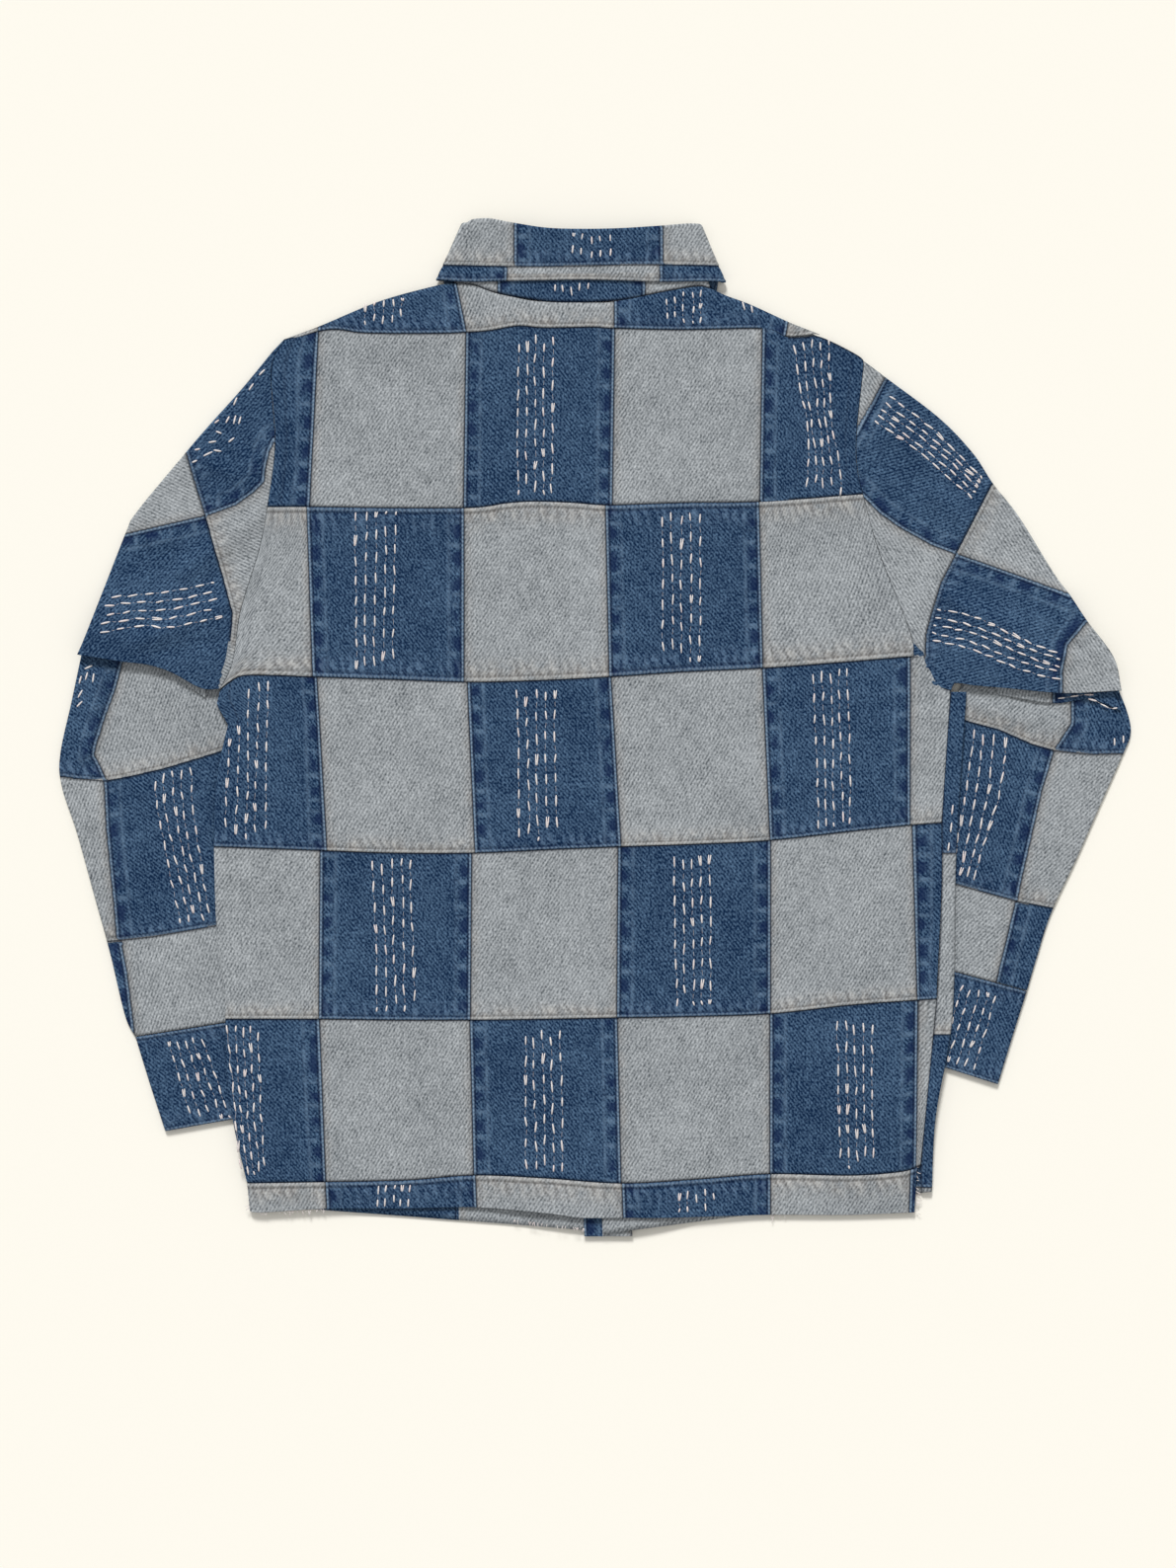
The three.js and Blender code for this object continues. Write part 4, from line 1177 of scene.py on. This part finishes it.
def build_stand():
    shares = steps(52, (0, 0.6, 1.4, 2.4, 3.6), 2.4)

    def low_at(x, y):
        y = np.minimum(y, 300)
        return np.where(x < COLLAR_X, front_left_z(x, y), front_right_z(x, y))

    middle, normal = collar_ring(STAND_PAIRS, low_at, back_z, shares)
    x, y = middle[..., 0], middle[..., 1]
    indigo = between(x, STAND_SEAMS) & (middle[..., 2] > 2.5 + CLOTH)
    column = to_columns(x, STAND_SEAMS)
    from_edge = np.broadcast_to(((1 - shares) * STAND_FACE)[:, None], x.shape)
    middle = middle + normal * (tuck_shape(from_edge) + column_shape(column, indigo))[..., None]
    # The row mark is below zero all over the stand, so the material paints a shadow line along the edge
    # that goes under the yoke.
    known = marks(x, y, 57.0, indigo, -from_edge - 0.01, column)
    return sewn("collar_stand", "pale_denim", (middle, normal, known))


def build_fall():
    """The fall, with the roll at the fold line."""
    shares = steps(46, (0, 0.8, 1.6, 2.6, 4), 1.5)

    def low_at(x, y):
        return np.full(np.shape(x), CLOTH / 2)

    def high_at(x, y):
        return back_z(x, y) + CLOTH + SLEEVE_AIR + 0.5 * ramp(y, 372, 392)

    middle, normal = collar_ring(FALL_PAIRS, low_at, high_at, shares)
    x, y = middle[..., 0], middle[..., 1]
    on_back = middle[..., 2] > 4
    seam_y = 365.5 + 0.8 * np.sin(x / 30)
    outer_part = y > seam_y
    from_fold = np.broadcast_to((shares * FALL_FACE)[:, None], x.shape)
    indigo = np.where(outer_part, between(x, FALL_UPPER_SEAMS),
                      (x < FALL_LOWER_SEAMS[0]) | (x > FALL_LOWER_SEAMS[1]))
    indigo = np.where(on_back, indigo, from_fold > FALL_FRONT_SEAM)
    column = np.where(outer_part, to_columns(x, FALL_UPPER_SEAMS), to_columns(x, FALL_LOWER_SEAMS))
    column = np.where(on_back, column, FAR)
    to_seam = np.where(on_back, abs(y - seam_y), abs(from_fold - FALL_FRONT_SEAM))
    folded = np.where(on_back, outer_part, from_fold < FALL_FRONT_SEAM)
    from_edge = np.broadcast_to(((1 - shares) * FALL_FACE)[:, None], x.shape)
    ridge = np.minimum(np.where(folded, to_seam, FAR), from_edge)
    tuck = np.where(folded, FAR, to_seam)
    height = ridge_shape(ridge) + tuck_shape(tuck) + column_shape(column, indigo)
    height = height + puckers(x, to_seam, 0.18)
    middle = middle + normal * (height * np.where(normal[..., 2] < -0.5, 0, 1))[..., None]
    known = marks(x, y, 55.0, indigo, nearer(ridge, tuck), column)

    forward = middle[0] - middle[3]
    forward[..., 2] = 0
    forward = forward / np.linalg.norm(forward, axis=-1, keepdims=True)
    angles = np.linspace(math.pi, 0, 9)[:-1]
    roll_normal = np.array([normal[0] * math.cos(a) + forward * math.sin(a) for a in angles])
    roll = middle[0] - normal[0] * ROLL + roll_normal * ROLL
    middle, normal = np.concatenate([roll, middle], 0), np.concatenate([roll_normal, normal], 0)
    known = {key: np.concatenate([np.repeat(values[:1], len(angles), 0), values], 0)
             for key, values in known.items()}
    return sewn("collar_fall", "indigo_denim", (middle, normal, known))


# Hand stitches.

THREAD_WIDTH = 1.4
TRAIL_WIDTH = 0.2
FRAY_WIDTH = 0.55
SINK = 0.45  # how deep a stitch's ends go into the cloth
FLATNESS = 0.7  # the thread is pressed flatter than round


def square_to(start, end):
    """The direction square to the one between two plan points."""
    direction = (end - start) / np.linalg.norm(end - start)
    return np.array([-direction[1], direction[0]])


def stitch_mesh(start, end, height_at, width=THREAD_WIDTH, rise=0.75):
    """One stitch of thick thread: it comes out of the cloth, lies on it and goes in again."""
    rings, sides = 7, 6
    share = np.linspace(0, 1, rings)
    plan = start[None] + (end - start)[None] * share[:, None]
    aside = square_to(start, end)
    arch = np.sin(np.pi * share) ** 0.5
    z = height_at(plan[:, 0], plan[:, 1]) - SINK + (SINK + rise * SINK) * arch
    radius = width / 2 * (0.3 + 0.7 * np.sin(np.pi * np.clip(share, 0.04, 0.96)) ** 0.6)
    angle = np.arange(sides) / sides * 2 * np.pi
    ring = np.zeros((rings, sides, 3))
    ring[..., 0] = plan[:, None, 0] + aside[0] * radius[:, None] * np.cos(angle)
    ring[..., 1] = plan[:, None, 1] + aside[1] * radius[:, None] * np.cos(angle)
    ring[..., 2] = z[:, None] + radius[:, None] * FLATNESS * np.sin(angle)
    index = np.arange(rings * sides).reshape(rings, sides)
    wrapped = np.hstack([index, index[:, :1]])
    corners = [wrapped[:-1, :-1], wrapped[:-1, 1:], wrapped[1:, 1:], wrapped[1:, :-1]]
    caps = [index[0, [[3, 2, 1, 0], [0, 5, 4, 3]]], index[-1, [[0, 1, 2, 3], [3, 4, 5, 0]]]]
    return ring.reshape(-1, 3), np.vstack([np.stack(corners, -1).reshape(-1, 4), *caps])


def back_top(x, y):
    return worn(back_z(x, y) + CLOTH / 2, x, y, BACK_CREASES)


def sleeve_top(x, y):
    return worn(lift(x, y) + CLOTH * 2 + AIR, x, y, SLEEVE_CREASES)


def forearm_top(x, y):
    return worn(CLOTH * 2 + SLEEVE_AIR, x, y, SLEEVE_CREASES)


def cuff_top(x, y):
    return worn(CUFF_CLOTH * 2 + SLEEVE_AIR / 2, x, y, SLEEVE_CREASES)


def hem_top(x, y):
    return back_z(x, np.maximum(y, -372)) - 0.6


def pleat_top(x, y):
    return np.full(np.shape(x), PLEAT_Z + CLOTH / 2 + 0.2)


def stand_top(x, y):
    return back_z(x, y) + CLOTH / 2


def fall_top(x, y):
    return back_z(x, y) + CLOTH * 1.5 + SLEEVE_AIR


PLEAT_STITCHES = [[(364, 24), (380, 26), (394, 28)], [(388, 24), (398, 20), (406, 16), (412, 16)]]
# Groups of lines of running stitch on each surface: the first line and the last, then the length from
# one stitch to the next, the length of a stitch and the number of lines, where they differ from these.
USUAL_GROUP = [16.5, 8.8, 5]
GROUPS = {
    back_top: [
        ([(-182, 336), (-182, 318)], [(-152, 340), (-154, 317)], 12.5, 7),
        ([(55, 342), (57, 320)], [(84, 348), (83, 319)], 11, 6),
        ([(-61, 313), (-61, 184)], [(-33, 313), (-35, 184)]),
        ([(157, 307), (161, 273), (168, 226), (166, 183)], [(184, 309), (187, 240), (193, 210), (193, 184)],
         15.5, 8.4),
        ([(-189, 172), (-189, 46)], [(-158, 172), (-160, 46)]),
        ([(52, 172), (54, 52)], [(83, 172), (82, 52)]),
        ([(-289, -3), (-292, -88)], [(-281, 6), (-284, -88)], 16, 8, 2),
        ([(-273, 36), (-276, -88)], [(-258, 38), (-261, -88)], 16, 8, 3),
        ([(-62, 34), (-60, -90)], [(-32, 34), (-31, -88)]),
        ([(172, 46), (176, -80)], [(199, 48), (201, -76)]),
        ([(-176, -102), (-172, -224)], [(-146, -102), (-143, -224)]),
        ([(62, -96), (64, -220)], [(90, -96), (91, -218)]),
        ([(-291, -234), (-283, -320), (-278, -352)], [(-266, -234), (-263, -320), (-261, -353)], 16, 8),
        ([(-56, -236), (-54, -350)], [(-28, -236), (-26, -350)]),
        ([(190, -226), (194, -348)], [(218, -226), (219, -347)]),
        ([(-171, -360), (-172, -378)], [(-147, -360), (-149, -378)], 12, 7),
        ([(66, -361), (66, -382)], [(93, -360), (93, -381)], 12, 7),
    ],
    sleeve_top: [
        ([(-388, 103), (-342, 107), (-301, 116)], [(-392, 76), (-354, 82), (-340, 79), (-293, 88)],
         13.5, 7.8),
        ([(220, 243), (260, 215), (298, 182)], [(232, 263), (268, 234), (306, 198)], 12, 8),
        ([(264, 70), (297, 62), (338, 46), (367, 39)], [(269, 94), (300, 87), (337, 70), (366, 59)],
         11, 7.5),
    ],
    forearm_top: [
        ([(-348, -36), (-346, -66), (-327, -154)], [(-320, -30), (-317, -75), (-304, -152)], 16, 8),
        ([(291, 4), (286, -30), (278, -100), (274, -118)], [(324, -5), (319, -50), (306, -95), (298, -122)],
         13.5, 9),
    ],
    cuff_top: [
        ([(-338, -247), (-318, -312)], [(-312, -242), (-288, -308)], 13.5, 7),
        ([(290, -202), (272, -262)], [(317, -210), (298, -270)], 14, 7.5),
    ],
    stand_top: [([(-32, 352), (-32, 339)], [(-6, 352), (-6, 340)], 14, 7)],
    fall_top: [([(-17, 392), (-19, 370)], [(11, 391), (12, 370)], 12, 7.5)],
}
# Single stitches: where each starts and ends, and what it lies on.
LOOSE = {
    sleeve_top: [
        ((-266, 279), (-261, 284)), ((-274, 267), (-270, 273)), ((-286, 255), (-283, 262)),
        ((-292, 241), (-289, 247)), ((-286, 240), (-284, 248)), ((-282, 240), (-280, 247)),
        ((-301, 241), (-297, 244)), ((-300, 235), (-295, 233)), ((-306, 226), (-299, 227)),
        ((-290, 226), (-285, 230)), ((-317, 220), (-312, 221)), ((-310, 215), (-302, 219)),
        ((-319, 210), (-314, 212)), ((-302, 220), (-295, 219)),
    ],
    forearm_top: [
        ((-404, 47), (-397, 50)), ((-403, 38), (-401, 45)), ((-408, 35), (-406, 42)),
        ((-409, 24), (-405, 31)), ((-397, 36), (-396, 44)), ((-410, 17), (-405, 22)),
        ((410, -14), (410, -7)), ((417, -12), (417, -5)),
    ],
    back_top: [
        ((116, 337), (118, 330)), ((123, 334), (124, 328)),
        ((279, -90), (278, -97)), ((281, -74), (280, -82)), ((282, -60), (281, -68)),
    ],
}


def stitched_line(line, pitch, size, height_at, reach):
    """Running stitches along a line, each a little off it, and the thread that shows between them."""
    length = np.sum(np.linalg.norm(np.diff(line, axis=0), axis=1))
    wave = rng.uniform(0, 6.28)
    stitches = []
    last_end = None
    while reach + size * 0.3 < length:
        start, end = max(reach, 0), min(reach + size * rng.uniform(0.85, 1.2), length)
        reach += pitch * rng.uniform(0.9, 1.1)
        if end - start < 2.5:
            continue
        points = along(line, [start / length, end / length], smooth=False)
        aside = square_to(*points)
        drift = 0.5 * math.sin(start / 24 + wave) + rng.uniform(-0.35, 0.35)
        tilt = rng.uniform(-0.7, 0.7)
        a, b = points[0] + aside * (drift - tilt), points[1] + aside * (drift + tilt)
        if rng.uniform() < 0.1:
            stitches += [(a + aside * shift, b + aside * shift * 0.4, 1.2, 0.75) for shift in (-0.9, 0.9)]
        else:
            stitches.append((a, b, THREAD_WIDTH * rng.uniform(0.85, 1.15), 0.75))
        if last_end is not None:
            stitches.append((last_end, a, TRAIL_WIDTH, 0.1))
        last_end = b
    return [stitch_mesh(a, b, height_at, width, rise) for a, b, width, rise in stitches]


def build_stitches():
    parts = []
    for height_at, groups in GROUPS.items():
        for first, last, *given in groups:
            pitch, size, count = given + USUAL_GROUP[len(given):]
            first, last = evenly(first, 12), evenly(last, 12)
            start = rng.uniform(-0.45, 0.1) * pitch
            for share in np.linspace(0, 1, count):
                line = first + (last - first) * share
                parts += stitched_line(line, pitch, size, height_at, start + rng.uniform(0, pitch * 0.5))
    for height_at, ends in LOOSE.items():
        parts += [stitch_mesh(*np.array(pair, float), height_at) for pair in ends]
    parts += frayed_threads()
    for line in PLEAT_STITCHES:
        parts += stitched_line(evenly(line, 10), 10.5, 6.5, pleat_top, 1)
    return place("running_stitches", joined("sashiko", parts), THREAD, "pale_denim")


# Raw edges: the line, how many threads hang from it, their length and their direction.
FRAYED = [
    ([(-270, -380), (-214, -379)], 34, 4.5, (0.1, -1)), ([(-272, -366), (-273, -379)], 8, 3.5, (-1, -0.4)),
    ([(253, -346), (253, -384)], 16, 4.0, (1, -0.3)), ([(257, -330), (262, -364)], 16, 4.5, (0.8, -0.8)),
    ([(-70, -387), (-4, -395)], 24, 3.0, (0, -1)), ([(140, -382), (150, -382)], 4, 7.0, (0.1, -1)),
]


def frayed_threads():
    parts = []
    for line, count, length, direction in FRAYED:
        for share in np.sort(rng.uniform(0, 1, count)):
            start = along(line, [share], smooth=False)[0]
            way = np.array(direction) + rng.uniform(-0.6, 0.6, 2)
            end = start + way / np.linalg.norm(way) * length * rng.uniform(0.5, 1.3)
            parts.append(stitch_mesh(start, end, hem_top, FRAY_WIDTH, 0.2))
    return parts


def joined(name, parts):
    counts = np.cumsum([0] + [len(points) for points, _ in parts])
    quads = [quads + start for (_, quads), start in zip(parts, counts)]
    return make_mesh(name, np.vstack([points for points, _ in parts]), np.vstack(quads))


def build_buttons():
    for i in range(1, 6):
        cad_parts[f"button_{i}"].data.materials.clear()
        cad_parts[f"button_{i}"].data.materials.append(BUTTON)


# Light, floor and camera.

FLOOR_HALF = 3.0  # the stage's sizes are metres
FLOOR_DROP = 0.0002
VIEW_HEIGHT = 1.546  # the height of the view, in depths of the jacket


def build_stage():
    low, high = cad_bounds
    width, depth = high[0] - low[0], high[1] - low[1]
    floor_mesh = bpy.data.meshes.new("floor")
    corners = [(x * FLOOR_HALF, y * FLOOR_HALF, 0) for x, y in ((-1, -1), (1, -1), (1, 1), (-1, 1))]
    floor_mesh.from_pydata(corners, [], [(0, 1, 2, 3)])
    floor_mesh.materials.append(floor_material())
    floor = linked("floor", floor_mesh)
    floor.location.z = -FLOOR_DROP

    scene = bpy.context.scene
    world = bpy.data.worlds.new("studio")
    world.use_nodes = True
    background = world.node_tree.nodes["Background"]
    background.inputs["Color"].default_value = (1.0, 1.0, 1.0, 1)
    background.inputs["Strength"].default_value = 0.5
    scene.world = world
    sun = linked("key_light", bpy.data.lights.new("key_light", "SUN"))
    sun.data.energy = 2.5
    sun.data.angle = math.radians(16)
    sun.rotation_euler = (math.radians(-50), math.radians(-12), 0)

    camera = linked("camera", bpy.data.cameras.new("camera"))
    camera.data.lens = 100
    camera.data.sensor_width = 36
    camera.data.clip_end = 20
    distance = depth * VIEW_HEIGHT * camera.data.lens / camera.data.sensor_width
    camera.location = (-0.007 * width, -0.0545 * depth, distance)
    scene.camera = camera
    scene.view_settings.view_transform = "Standard"


build_stage()
back_indigo, back_pale = build_back()
sleeves = build_sleeves()
pleats = build_pleats()
fronts = build_fronts()
turned_edge = build_turned_edge()
band = build_band()
collar = {"stand": build_stand(), "fall": build_fall()}
build_stitches()
build_buttons()
